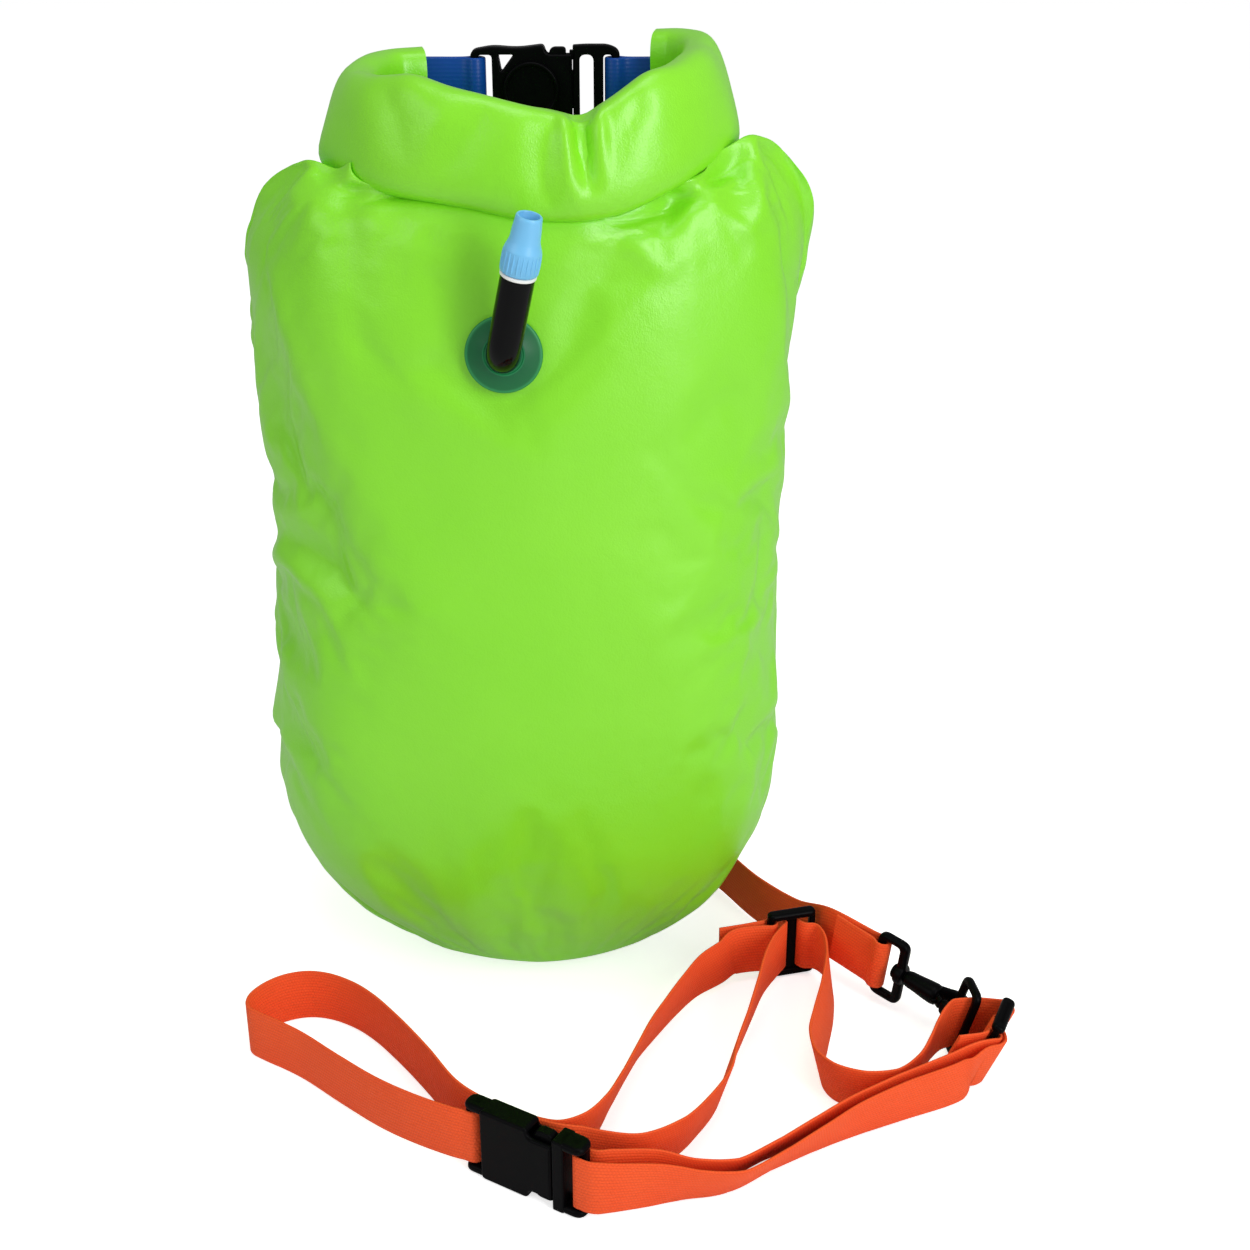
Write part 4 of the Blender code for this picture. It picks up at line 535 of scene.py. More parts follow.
def coated_nylon():
    """Neon polyurethane film over a fine nylon weave: satin, with a broad soft highlight.

    The film follows the weave as a faint grain. The real threads are 0.25 mm apart, too fine for
    this view, so the grain is drawn at 0.7 mm. Pigment lies slightly uneven over hand-sized areas.
    """
    material, tree, shader = new_material("coated_nylon", Roughness=0.33, IOR=1.50, Specular_IOR_Level=0.6)
    place = put(tree, "ShaderNodeTexCoord")["Object"]
    pigment = blend(tree, noise(tree, place, 14, 2), linear("#80DE18"), linear("#8EE62C"))
    tree.links.new(pigment, shader.inputs["Base Color"])
    relief = reckon(tree, "MULTIPLY_ADD", noise(tree, place, 90, 3), 3.0, noise(tree, place, 1400, 2))
    embossed(tree, shader, relief, 0.35, 0.0003)
    return material


# How many edges a slow drift spans at the least, and the farthest that a pucker may move
DRIFT_REACH, PUCKER = 60, 0.005


def blown_up(skin, steps=16):
    """Runs the skin under air pressure: its welds draw up a little, so it puckers along them.

    The bottom, the collar and the skin under the valve and the tether's patch stay where they are.
    Of the motion only the puckers are kept, not the slow drift of the whole skin.
    """
    mesh = skin.data
    rest, _ = mesh_arrays(mesh)
    held, drawn = skin.vertex_groups.new(name="held"), skin.vertex_groups.new(name="drawn")
    places, _ = along_collar(np.linspace(0.26, 0.75, 60))
    for i, (x, y, z) in enumerate(rest):
        near_collar = np.linalg.norm(places - rest[i], axis=1).min() if z > 0.33 else 1
        fitting = math.dist((x, z), VALVE_SPOT) if y < 0 else math.dist((x, z), PATCH_SPOT) - 0.012
        tight = max(0, 1 - z / 0.020, 1 - (near_collar - 0.020) / 0.012, 1.6 - fitting / 0.015)
        held.add([i], min(1, tight), "REPLACE")
        weld = math.exp(-((y - SETBACK) / 0.016) ** 2) if 0.03 < z < 0.345 else 0
        drawn.add([i], weld, "REPLACE")
    cloth = skin.modifiers.new("air", "CLOTH")
    fabric = cloth.settings
    fabric.quality, fabric.mass, fabric.air_damping = 6, 0.15, 3
    fabric.tension_stiffness, fabric.compression_stiffness, fabric.shear_stiffness = 40, 40, 20
    fabric.bending_stiffness = 0.02
    fabric.use_pressure, fabric.uniform_pressure_force = True, 5
    fabric.effector_weights.gravity = 0
    fabric.vertex_group_mass, fabric.vertex_group_shrink = "held", "drawn"
    fabric.shrink_min, fabric.shrink_max = 0, 0.08
    cloth.collision_settings.use_collision = False
    cloth.point_cache.frame_end = steps
    for frame_number in range(1, steps + 1):
        scene.frame_set(frame_number)
    blown = np.zeros(len(mesh.vertices) * 3)
    skin.evaluated_get(bpy.context.evaluated_depsgraph_get()).data.vertices.foreach_get("co", blown)
    move = blown.reshape(-1, 3) - rest
    edges = np.zeros(len(mesh.edges) * 2, int)
    mesh.edges.foreach_get("vertices", edges)
    edges = edges.reshape(-1, 2)
    joined = np.bincount(edges.ravel(), minlength=len(rest))[:, None]
    broad = move.copy()
    for _ in range(DRIFT_REACH):
        around = np.zeros_like(broad)
        np.add.at(around, edges[:, 0], broad[edges[:, 1]])
        np.add.at(around, edges[:, 1], broad[edges[:, 0]])
        broad = (broad + around) / (1 + joined)
    move -= broad
    far = np.linalg.norm(move, axis=1, keepdims=True)
    rest += move * np.minimum(1, PUCKER / np.maximum(far, 1e-9))
    rest[:, 2] = np.maximum(rest[:, 2], 0)
    skin.modifiers.remove(cloth)
    skin.vertex_groups.clear()
    shape_mesh(mesh, rest)
    scene.frame_set(1)


neon_nylon = coated_nylon()
skin_mesh, skin_numbers, shoulder_row = bag_mesh()
# The creases stay on the front and the sides: the skin's fold in the collar and the back of its top
# keep their places.
skin_points, skin_normals = mesh_arrays(skin_mesh)
creased = pressed(skin_points, skin_normals, BAG_CREASES)
welded = np.concatenate([skin_numbers[0, -1], skin_numbers[1, shoulder_row:, 8:-8].ravel()])
creased[welded] = skin_points[welded]
shape_mesh(skin_mesh, pushed(creased, BAG_PUSHES))
bag_skin = linked("bag_skin", skin_mesh)
skin_mesh.materials.append(neon_nylon)
skin_mesh.shade_smooth()
blown_up(bag_skin)
skin_points, skin_normals = mesh_arrays(skin_mesh)
smoothing = bag_skin.modifiers.new("smoothing", "SUBSURF")
smoothing.levels = smoothing.render_levels = 1
stands_for(bag_skin, "bag", "bag_fabric", "front_panel", "back_panel")

# Dry liner and seam tapes. The liner is a thin grey film inside the air chamber, welded to the skin
# under the collar and along the seams and held off it by the air lower down. A strip of the green
# film is welded over each side seam on the inside.

# Depths below the skin: the liner at its weld, how much deeper it hangs lower down, and the tapes
LINER_WELD, LINER_AIR, TAPE_DEPTH = 0.0024, 0.0130, 0.0019


def grid_mesh(name, rows, round_rows=False, round_columns=False, caps=()):
    """A sheet of quads from rows of points; it closes on itself either way if asked."""
    rows = np.asarray(rows)
    number = np.arange(rows[..., 0].size).reshape(rows.shape[:2])
    if round_rows:
        number = np.concatenate([number, number[:1]])
    if round_columns:
        number = np.concatenate([number, number[:, :1]], axis=1)
    mesh = bpy.data.meshes.new(name)
    mesh.from_pydata(rows.reshape(-1, 3).tolist(), [], quads(number).reshape(-1, 4).tolist() + list(caps))
    return mesh


def film(mesh, thickness, material, slot, *nodes):
    """Thickens a sheet inward into a film and lets it stand for its solids."""
    mesh.materials.append(material)
    mesh.shade_smooth()
    made = linked(mesh.name, mesh)
    wall = made.modifiers.new("film", "SOLIDIFY")
    wall.thickness, wall.offset = thickness, -1
    return stands_for(made, "bag", slot, *nodes)


def liner_film():
    """Grey thermoplastic polyurethane film, calendered smooth: thin, with a soft waxy gloss."""
    return new_material("polyurethane_film", Base_Color=linear("#8E9398"), Roughness=0.38)[0]


ring_columns = list(range(0, COLUMNS, 3))
liner_rows = []
for r in range(5, shoulder_row, 3):
    ring = np.concatenate([skin_numbers[0, r, ring_columns], skin_numbers[1, r, COLUMNS:0:-3]])
    depth = LINER_WELD + LINER_AIR * np.clip((TALL - skin_points[ring, 2:]) / 0.05, 0, 1)
    liner_rows.append(skin_points[ring] - skin_normals[ring] * depth)
liner = film(grid_mesh("dry_liner", liner_rows, round_columns=True), 0.0008, liner_film(), "liner_film",
             "dry_liner_front", "dry_liner_back")
for side, column, inward in (("left", 0, 1), ("right", COLUMNS, -1)):
    strip = []
    for r in range(14, shoulder_row - 6):
        line = [skin_numbers[panel, r, column + inward * far]
                for panel, far in ((0, 2), (0, 1), (0, 0), (1, 1), (1, 2))]
        strip.append(skin_points[line[::inward]] - skin_normals[line[::inward]] * TAPE_DEPTH)
    tape = film(grid_mesh("seam_tape_" + side + "_film", strip), 0.0008, neon_nylon, "bag_fabric",
                "seam_tape_" + side)

# Tether patch. A square of the bag's own film is welded low on the back, and the tether is sewn to
# it with black thread in a box.

skin_tree = BVHTree.FromPolygons(skin_points.tolist(), [tuple(face.vertices) for face in skin_mesh.polygons])


def patch_rows(half_wide, half_tall, lift, count=14):
    """Places on the back of the skin over the patch, lifted off it a little."""
    x_middle, z_middle = PATCH_SPOT
    rows = []
    for z in np.linspace(z_middle + half_tall, z_middle - half_tall, count):
        row = []
        for x in np.linspace(x_middle - half_wide, x_middle + half_wide, count):
            place, normal, *_ = skin_tree.ray_cast(Vector((x, 0.2, z)), Vector((0, -1, 0)))
            row.append(place + normal * lift)
        rows.append(row)
    return rows


patch = film(grid_mesh("tether_patch_film", patch_rows(0.022, 0.018, 0.0013)), 0.001, neon_nylon,
             "bag_fabric", "tether_patch")


def stitch_tree():
    """Geometry Nodes: short stitches of thread, laid end to end along the edges of a seed mesh."""
    tree, given = geometry_tree("stitches", "Stitches", Rows="Geometry", Pitch=0.003, Length=0.0021,
                                Thread=0.00028, Yarn="Material")
    line = put(tree, "GeometryNodeMeshToCurve", {"Mesh": given["Rows"]})[0]
    spots = put(tree, "GeometryNodeCurveToPoints", {"Curve": line, "Length": given["Pitch"]}, mode="LENGTH")
    ball = put(tree, "GeometryNodeMeshUVSphere", {"Segments": 8, "Rings": 6, "Radius": 1.0})[0]
    half = reckon(tree, "MULTIPLY", given["Length"], 0.5)
    size = put(tree, "ShaderNodeCombineXYZ", {"X": given["Thread"], "Y": given["Thread"], "Z": half})[0]
    turn = put(tree, "FunctionNodeAlignRotationToVector", {"Vector": spots["Tangent"]}, axis="Z")[0]
    stitches = put(tree, "GeometryNodeInstanceOnPoints", {"Points": spots["Points"], "Instance": ball,
                                                          "Rotation": turn, "Scale": size})[0]
    return hand_out(tree, "Stitches", stitches, given["Yarn"])


def polyester_thread(name, colour):
    """Bonded polyester thread, twisted and wax-smooth: a soft gloss on each stitch."""
    return new_material(name, Base_Color=linear(colour), Roughness=0.5, IOR=1.55)[0]


def sewn(name, body, rows, yarn):
    """Stitches along rows of places."""
    places, edges = [], []
    for row in rows:
        edges += [(len(places) + i, len(places) + i + 1) for i in range(len(row) - 1)]
        places += [tuple(place) for place in row]
    mesh = bpy.data.meshes.new(name + "_rows")
    mesh.from_pydata(places, edges, [])
    made = grown(name, mesh, stitches_tree, Yarn=yarn)
    made.data.shade_smooth()
    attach(made, body)


def strap_rows(line, wide, start, stop, side, margin=0.0024):
    """A box with its two diagonals on one face of a strap, between two of its centres."""
    along = np.gradient(line, axis=0)
    face = np.cross(along, wide)
    face *= side * (STRAP_THICKNESS / 2 + 0.00012) / np.linalg.norm(face, axis=1, keepdims=True)
    steps = np.arange(start, stop + 1)
    reach = STRAP_WIDTH / 2 - margin

    def spot(step, share):
        return line[step] + face[step] + wide[step] * reach * share

    share = np.linspace(-1, 1, len(steps))
    return [[spot(i, 1) for i in steps], [spot(i, -1) for i in steps],
            [spot(start, t) for t in np.linspace(-1, 1, 9)], [spot(stop, t) for t in np.linspace(-1, 1, 9)],
            [spot(i, t) for i, t in zip(steps, share)], [spot(i, -t) for i, t in zip(steps, share)]]


stitches_tree = stitch_tree()
orange_thread = polyester_thread("orange_thread", "#D9481C")
black_thread = polyester_thread("black_thread", "#15151A")

# Collar. The bag's mouth, doubled fabric with a stiffener in its hem, is rolled down twice and its
# two ends are buckled together behind, which bends the roll into a C.

# Turns of the roll, how much each one narrows it, the fabric's thickness and how square it is rolled
ROLL_TURNS, ROLL_PITCH, ROLL_FABRIC, ROLL_CORNER = 2.25, 0.0033, 0.0016, 0.68
SPIRAL_STEPS, ROLL_RINGS = 96, 240
# Creases of the roll, as for the bag
ROLL_CREASES = (
    (10, 2.8, (27.3, -50, 400), (28, -57.5, 392), (28.6, -61, 385), (29.8, -62.5, 377.8), (31, -63, 372)),
    (2.2, 5, (17, -58, 391), (13.4, -63, 377.9), (14.7, -64.2, 367.5), (18.6, -63.9, 362.7)),
    (1.6, 6, (-45, -46, 400), (-40, -51, 390), (-38, -53, 381)), (-1, 6, (-22, -55, 392), (-34, -54, 376)),
    (1.4, 6, (-10, -59, 392), (-19, -58, 381), (-26, -57, 372)), (1.5, 4, (48, -53, 396), (41, -61, 384)),
    (-1.3, 5, (22, -60, 388), (23.7, -63.8, 372), (29, -62.4, 360.9)),
    (1.0, 4, (38, -56, 393), (40, -59, 384), (38, -60, 374)), (0.8, 12, (-28, -52, 372), (0, -60, 368)),
    (1.2, 5, (-58, -14, 396), (-56, -22, 386), (-48, -33, 378)), (1.2, 6, (70, -24, 386), (62, -36, 376)),
)
# Where the roll is pushed as a whole: place, reach and push, all in mm. The first is the pinch in its
# top edge, at the front.
ROLL_PUSHES = (
    (27.3, -51, 400, 6.5, 0, 1, -10), (50, -44, 407, 12, 0, 0, 4.5), (12, -52, 400, 9, 0, 0, -1),
    (-33, -40, 404, 14, 0, 0, 3.5), (78, -2, 412, 16, -3.5, 0, 0), (-60, 10, 408, 14, 3, 0, 1.5),
    (82, -14, 372, 15, 3.5, -1, 2), (-71, -12, 376, 13, -4, -1, -2),
)


def roll_section():
    """Outline of the rolled sheet, outer face inward and inner face back out, as (out, up) in metres."""
    turn = np.linspace(0, ROLL_TURNS, SPIRAL_STEPS + 1)
    angle = math.tau * turn - math.pi / 2
    across, up = (np.sign(way) * np.abs(way) ** ROLL_CORNER for way in (np.cos(angle), np.sin(angle)))
    faces = [np.column_stack([(ROLL_THICK - ROLL_PITCH * turn - shift) * across,
                              (ROLL_TALL - ROLL_PITCH * turn - shift) * up]) for shift in (0, ROLL_FABRIC)]
    return np.concatenate([faces[0], faces[1][::-1]])


def outward(mesh, join=None):
    """Turns a closed mesh's faces outward, after joining the points that lie within a distance."""
    bm = bmesh.new()
    bm.from_mesh(mesh)
    if join:
        bmesh.ops.remove_doubles(bm, verts=bm.verts, dist=join)
    bmesh.ops.recalc_face_normals(bm, faces=bm.faces)
    if bm.calc_volume(signed=True) < 0:
        bmesh.ops.reverse_faces(bm, faces=bm.faces)
    bm.to_mesh(mesh)
    bm.free()


def roll_mesh():
    """The rolled sheet, and for each of its points the way that a crease pushes against.

    The way points out of the roll and is shorter on the inner turns, so the turns stay apart.
    """
    section = roll_section()
    places, out = along_collar(np.linspace(0, 1, ROLL_RINGS + 1))
    rings = leaned(places[:, None], out[:, None], section[None, :, 0], section[None, :, 1])
    size = np.array((ROLL_THICK, ROLL_TALL))
    swell = section / size ** 2
    swell *= (np.minimum(1, np.linalg.norm(section / size, axis=1)) / np.linalg.norm(swell, axis=1))[:, None]
    ways = leaned(np.zeros(3), out[:, None], swell[None, :, 0], swell[None, :, 1])
    count = len(section)
    caps = [(k, count - 1 - k, count - 2 - k, k + 1) for k in range(count // 2 - 1)]
    caps += [tuple(ROLL_RINGS * count + k for k in cap[::-1]) for cap in caps]
    mesh = grid_mesh("collar_roll", rings, round_columns=True, caps=caps)
    outward(mesh)
    return mesh, ways.reshape(-1, 3)


collar_mesh, collar_ways = roll_mesh()
collar_points = pushed(mesh_arrays(collar_mesh)[0], ROLL_PUSHES)
shape_mesh(collar_mesh, pressed(collar_points, collar_ways, ROLL_CREASES))
collar_mesh.materials.append(neon_nylon)
shaded(collar_mesh, 60)
collar = stands_for(linked("collar_roll", collar_mesh), "bag", "bag_fabric", "roll_top")

# Closure tabs. Two short pieces of blue coated webbing come out of the collar's ends, go round the
# closure's bars and are folded back on themselves.


def coated_webbing():
    """Blue polyester webbing dipped in vinyl: the weave shows as fine ribs under a glossy coat."""
    material, tree, shader = new_material("coated_webbing", Base_Color=linear("#08459C"), Roughness=0.36,
                                          IOR=1.5, Specular_IOR_Level=0.25)
    across = put(tree, "ShaderNodeAttribute", attribute_name="across")["Fac"]
    rib = reckon(tree, "SINE", reckon(tree, "MULTIPLY", across, math.tau / 0.0016))
    embossed(tree, shader, rib, 0.16, 0.0001)
    return material


# The closure's place, half its length, the width of its bars, and the tabs' thickness
CLOSURE_PLACE, CLOSURE_HALF, CLOSURE_BAR, TAB_THICKNESS = (0.0115, 0.0322, 0.39035), 0.030, 0.003, 0.0014
blue_webbing = coated_webbing()
for side, end in ((-1, COLLAR_ROUTE[0]), (1, COLLAR_ROUTE[-1])):
    bar = side * (CLOSURE_HALF - CLOSURE_BAR / 2)
    tip = end[0] - CLOSURE_PLACE[0] - side * 0.0012
    radius = math.hypot(CLOSURE_BAR / 2, 0.002125) + 0.0006 + TAB_THICKNESS / 2
    close = TAB_THICKNESS * 0.75
    path = [(tip, close), (bar + side * 0.0042, close * 1.2)]
    path += [(bar - side * radius * math.cos(a), radius * math.sin(a))
             for a in np.radians(np.linspace(90, -90, 9))]
    path += [(bar + side * 0.0042, -close * 1.2), (tip, -close)]
    stations = [((CLOSURE_PLACE[0] + x) * 1000, (CLOSURE_PLACE[1] + y) * 1000, CLOSURE_PLACE[2] * 1000)
                for x, y in path]
    name = "tab_left" if side < 0 else "tab_right"
    tab = strap(name, stations, blue_webbing, Thickness=TAB_THICKNESS)[0]
    stands_for(tab, "bag", "tab_webbing", "closure_" + name)

# Inflation valve. A soft PVC disc is welded to the front; out of it comes a black rubber tube with a
# white ring, and on that sits a ribbed blue mouthpiece that turns. A spring plunger closes the tube.

# The disc's placement, its Z out of the bag; the tube's direction beyond its bend
VALVE = Matrix(((1, 0, 0, VALVE_SPOT[0]), (0, 0.104219, -0.994554, -0.067099),
                (0, 0.994554, 0.104219, VALVE_SPOT[1]), (0, 0, 0, 1)))
TUBE_AXIS = Vector((0.207802, -0.156352, 0.965594))
TUBE_RADIUS, TUBE_BORE, DISC_RADIUS, DISC_FACE = 0.0064, 0.0038, 0.0147, 0.0015


def lathe(name, profile, place, sides=64):
    """Turns a closed profile of (radius, height) round the Z of a placement; keeps the radius."""
    angles = np.arange(sides) / sides * math.tau
    rows = [[place @ Vector((math.cos(a) * r, math.sin(a) * r, z)) for a in angles] for r, z in profile]
    mesh = grid_mesh(name, rows, round_rows=True, round_columns=True)
    radii = np.repeat([r for r, _ in profile], sides)
    mesh.attributes.new("radius", "FLOAT", "POINT").data.foreach_set("value", radii)
    outward(mesh, 0.000001)
    shaded(mesh, 40)
    return mesh


def placed(mesh, material, node, slot):
    """A piece of the valve that stays on the bag."""
    mesh.materials.append(material)
    return stands_for(linked(mesh.name, mesh), "bag", slot, node)


def soft_disc():
    """Moulded PVC disc, dark green and slightly clear, with a paler welded ring round the tube."""
    material, tree, shader = new_material("soft_pvc", Roughness=0.35, IOR=1.53, Specular_IOR_Level=0.3)
    radius = put(tree, "ShaderNodeAttribute", attribute_name="radius")["Fac"]
    rings = put(tree, "ShaderNodeValToRGB", {"Fac": reckon(tree, "DIVIDE", radius, DISC_RADIUS)})["Color"]
    ramp = rings.node.color_ramp
    ramp.elements[0].position, ramp.elements[0].color = 0.44, linear("#0B5A34")
    ramp.elements[1].position, ramp.elements[1].color = 1.0, linear("#1E7A3E")
    for position, code in ((0.50, "#2A9A5C"), (0.56, "#0A6238"), (0.90, "#12693A"), (0.96, "#2E8F52")):
        ramp.elements.new(position).color = linear(code)
    tree.links.new(rings, shader.inputs["Base Color"])
    return material


def rubber_hose():
    """Black extruded rubber, polished by its tool: near black with one sharp highlight."""
    return new_material("extruded_rubber", Base_Color=linear("#030304"), Roughness=0.10, IOR=1.52,
                        Specular_IOR_Level=0.12)[0]


def moulded_polypropylene(name, code, roughness):
    """Injection-moulded polypropylene: waxy satin, a little light passing through thin parts."""
    return new_material(name, Base_Color=linear(code), Roughness=roughness, IOR=1.49, Subsurface_Weight=0.08,
                        Subsurface_Radius=(0.001, 0.001, 0.001))[0]


disc = lathe("valve_disc", ((TUBE_BORE, -0.0045), (0.0050, -0.0045), (0.0050, 0.0002), (0.0140, 0.0002),
                            (0.0146, 0.0004), (DISC_RADIUS, 0.0008), (0.0145, 0.0012), (0.0139, DISC_FACE),
                            (0.0088, DISC_FACE), (0.0083, DISC_FACE + 0.0004), (0.0076, DISC_FACE + 0.0004),
                            (0.0072, DISC_FACE), (TUBE_BORE, DISC_FACE)), VALVE, 128)
placed(disc, soft_disc(), "valve_flange", "flange_green")

out_way = (VALVE.to_3x3() @ Vector((0, 0, 1))).normalized()
foot = VALVE @ Vector((0, 0, DISC_FACE + 0.0003))
lift_off, elbow = foot + out_way * 0.0015, foot + out_way * 0.0093
bend_end = elbow + TUBE_AXIS * 0.0078
hose_route = [foot, lift_off]
hose_route += [lift_off.lerp(elbow, t).lerp(elbow.lerp(bend_end, t), t) for t in np.arange(1, 16) / 16]
hose_route += [bend_end + TUBE_AXIS * 0.0255 * t for t in np.arange(0, 9) / 8]
outer, inner = [], []
for before, place, after in zip(hose_route[:1] + hose_route, hose_route, hose_route[1:] + hose_route[-1:]):
    way = (after - before).normalized()
    side_way = (Vector((1, 0, 0)) - way * way.x).normalized()
    rise_way = way.cross(side_way)
    for rings, radius in ((outer, TUBE_RADIUS), (inner, TUBE_BORE)):
        rings.append([place + (side_way * math.cos(a) + rise_way * math.sin(a)) * radius
                      for a in np.arange(48) / 48 * math.tau])
hose = grid_mesh("valve_hose", outer + inner[::-1], round_rows=True, round_columns=True)
outward(hose)
shaded(hose, 40)
placed(hose, rubber_hose(), "valve_tube", "tube_rubber")

top = Matrix.Translation(hose_route[-1]) @ TUBE_AXIS.to_track_quat("Z", "Y").to_matrix().to_4x4()
white_ring = lathe("valve_ring", ((TUBE_BORE, 0.0003), (0.0065, 0.0003), (0.0068, 0.0006), (0.0068, 0.0014),
                                  (0.0065, 0.0017), (TUBE_BORE, 0.0017)), top)
placed(white_ring, moulded_polypropylene("white_polypropylene", "#F2F3F0", 0.35), "valve_collar",
       "valve_white")


def ribbed_tree():
    """Geometry Nodes: a turned body with upright finger ribs set round its lower part."""
    tree, given = geometry_tree("finger_ribs", "Part", Body="Geometry", Count=24, Radius=0.0069,
                                Length=0.0084, Rib=0.00042, Plastic="Material")
    ring = put(tree, "GeometryNodeMeshCircle", {"Vertices": given["Count"], "Radius": given["Radius"]})[0]
    ball = put(tree, "GeometryNodeMeshUVSphere", {"Segments": 10, "Rings": 10, "Radius": 1.0})[0]
    half = reckon(tree, "MULTIPLY", given["Length"], 0.5)
    size = put(tree, "ShaderNodeCombineXYZ", {"X": given["Rib"], "Y": given["Rib"], "Z": half})[0]
    ribs = put(tree, "GeometryNodeInstanceOnPoints", {"Points": ring, "Instance": ball, "Scale": size})[0]
    up = put(tree, "ShaderNodeCombineXYZ", {"Z": half})[0]
    ribs = put(tree, "GeometryNodeRealizeInstances", {"Geometry": ribs})[0]
    ribs = put(tree, "GeometryNodeTransform", {"Geometry": ribs, "Translation": up})[0]
    both = put(tree, "GeometryNodeJoinGeometry", {0: ribs})[0]
    tree.links.new(given["Body"], both.node.inputs[0])
    return hand_out(tree, "Part", both, given["Plastic"])


MOUTH_BASE, MOUTH_TALL = 0.0020, 0.0215
mouth = lathe("mouthpiece_part", ((TUBE_BORE, 0), (0.0066, 0), (0.0070, 0.0005), (0.0069, 0.0086),
                                  (0.0068, 0.0091), (0.0064, 0.0100), (0.0058, 0.0118), (0.0056, 0.0124),
                                  (0.0053, 0.0165), (0.0049, MOUTH_TALL - 0.0014),
                                  (0.0048, MOUTH_TALL - 0.0004), (0.0045, MOUTH_TALL), (0.0040, MOUTH_TALL),
                                  (TUBE_BORE, MOUTH_TALL - 0.0004)), Matrix(), 96)
mouthpiece = grown("mouthpiece_part", mouth, ribbed_tree(),
                   Plastic=moulded_polypropylene("blue_polypropylene", "#78C3F0", 0.34))
mouthpiece.data.transform(top @ Matrix.Translation((0, 0, MOUTH_BASE)))
mouthpiece.data.set_sharp_from_angle(angle=math.radians(40))
stands_for(mouthpiece, "mouthpiece", "mouthpiece_blue", "mouthpiece")

# Moulded hardware. Sliders, ring, buckles, hook and eye are injection-moulded acetal, black and
# satin, with every edge rounded by the mould: plates, rails and rods that run into each other.


def moulded_acetal():
    """Black acetal from a lightly textured mould: satin, with soft edges and fine handling marks."""
    material, tree, shader = new_material("moulded_acetal", IOR=1.48, Specular_IOR_Level=0.055)
    place = put(tree, "ShaderNodeTexCoord")["Object"]
    wear = noise(tree, place, 220, 5)
    tree.links.new(blend(tree, wear, linear("#030304"), linear("#070709")), shader.inputs["Base Color"])
    rough = put(tree, "ShaderNodeMapRange", {"Value": wear, "To Min": 0.26, "To Max": 0.46})["Result"]
    tree.links.new(rough, shader.inputs["Roughness"])
    embossed(tree, shader, noise(tree, place, 1800, 2), 0.3, 0.0001)
    return material


def turned_to(x_way, y_way, z_way, place):
    """A placement from its three directions and its place."""
    return Matrix.Translation(place) @ Matrix((x_way, y_way, z_way)).transposed().to_4x4()


def filleted(corners, steps=6):
    """A closed outline from corners of (across, along, radius), in millimetres."""
    outline = []
    for i, (x, y, radius) in enumerate(corners):
        corner = Vector((x, y))
        before = (Vector(corners[i - 1][:2]) - corner).normalized() * radius
        after = (Vector(corners[(i + 1) % len(corners)][:2]) - corner).normalized() * radius
        for t in np.arange(steps + 1) / steps:
            outline.append(corner + before * (1 - t) ** 2 + after * t ** 2)
    return outline


def slab(low, high, radius):
    """A rounded rectangle between two corners."""
    return filleted([(x, y, radius) for x, y in (low, (high[0], low[1]), high, (low[0], high[1]))])


def mirrored(side):
    """A closed outline from the corners of its upper side, with the same below."""
    return filleted(side + [(x, -y, radius) for x, y, radius in side[::-1]])


def mesh_of(curve, lines, place, closed=False):
    """The mesh of a curve through lines of places in mm, each with a size, put in its place."""
    for line in lines:
        spline = curve.splines.new("POLY")
        spline.points.add(len(line) - 1)
        spline.use_cyclic_u = closed
        for point, (where, size) in zip(spline.points, line):
            point.co, point.radius = (*(value / 1000 for value in where.to_3d()), 1), size
    seed = linked(curve.name, curve)
    bpy.context.view_layer.update()
    mesh = baked(seed)
    bpy.data.objects.remove(seed)
    bpy.data.curves.remove(curve)
    mesh.transform(place)
    outward(mesh, 0.000002)
    return mesh


def plate(outlines, half, edge, place):
    """A moulded plate: an outline and its windows, with a half thickness and rounded edges (mm)."""
    curve = bpy.data.curves.new("plate", "CURVE")
    curve.dimensions, curve.fill_mode = "2D", "BOTH"
    curve.extrude, curve.bevel_depth, curve.bevel_resolution = (half - edge) / 1000, edge / 1000, 4
    curve.offset = -edge / 1000
    return mesh_of(curve, [[(where, 1) for where in outline] for outline in outlines], place, closed=True)


def rod(path, radius, place):
    """A moulded round bar along a path (mm), with domed ends."""
    domes = [[(end + (end - inner).normalized() * radius * math.sin(a), math.cos(a))
              for a in np.radians((80, 60, 35))] for end, inner in (path[:2], path[:-3:-1])]
    curve = bpy.data.curves.new("rod", "CURVE")
    curve.dimensions, curve.bevel_depth, curve.bevel_resolution = "3D", radius / 1000, 6
    curve.use_fill_caps = True
    return mesh_of(curve, [domes[0] + [(where, 1) for where in path] + domes[1][::-1]], place)


def moulded(node, *meshes):
    """One black piece for a node, from closed bodies that run into each other as one mould fills them."""
    bm = bmesh.new()
    for mesh in meshes:
        bm.from_mesh(mesh)
    mesh = meshes[0]
    bm.to_mesh(mesh)
    bm.free()
    mesh.materials.clear()
    mesh.materials.append(black_acetal)
    shaded(mesh, 50)
    body = next(name for name, nodes in frame["record"]["behaviour"]["bodies"].items() if node in nodes)
    made = stands_for(linked(node + "_moulded", mesh), body, "black_plastic", node)
    flat = made.modifiers.new("flat faces", "WEIGHTED_NORMAL")
    flat.keep_sharp, flat.weight = True, 80


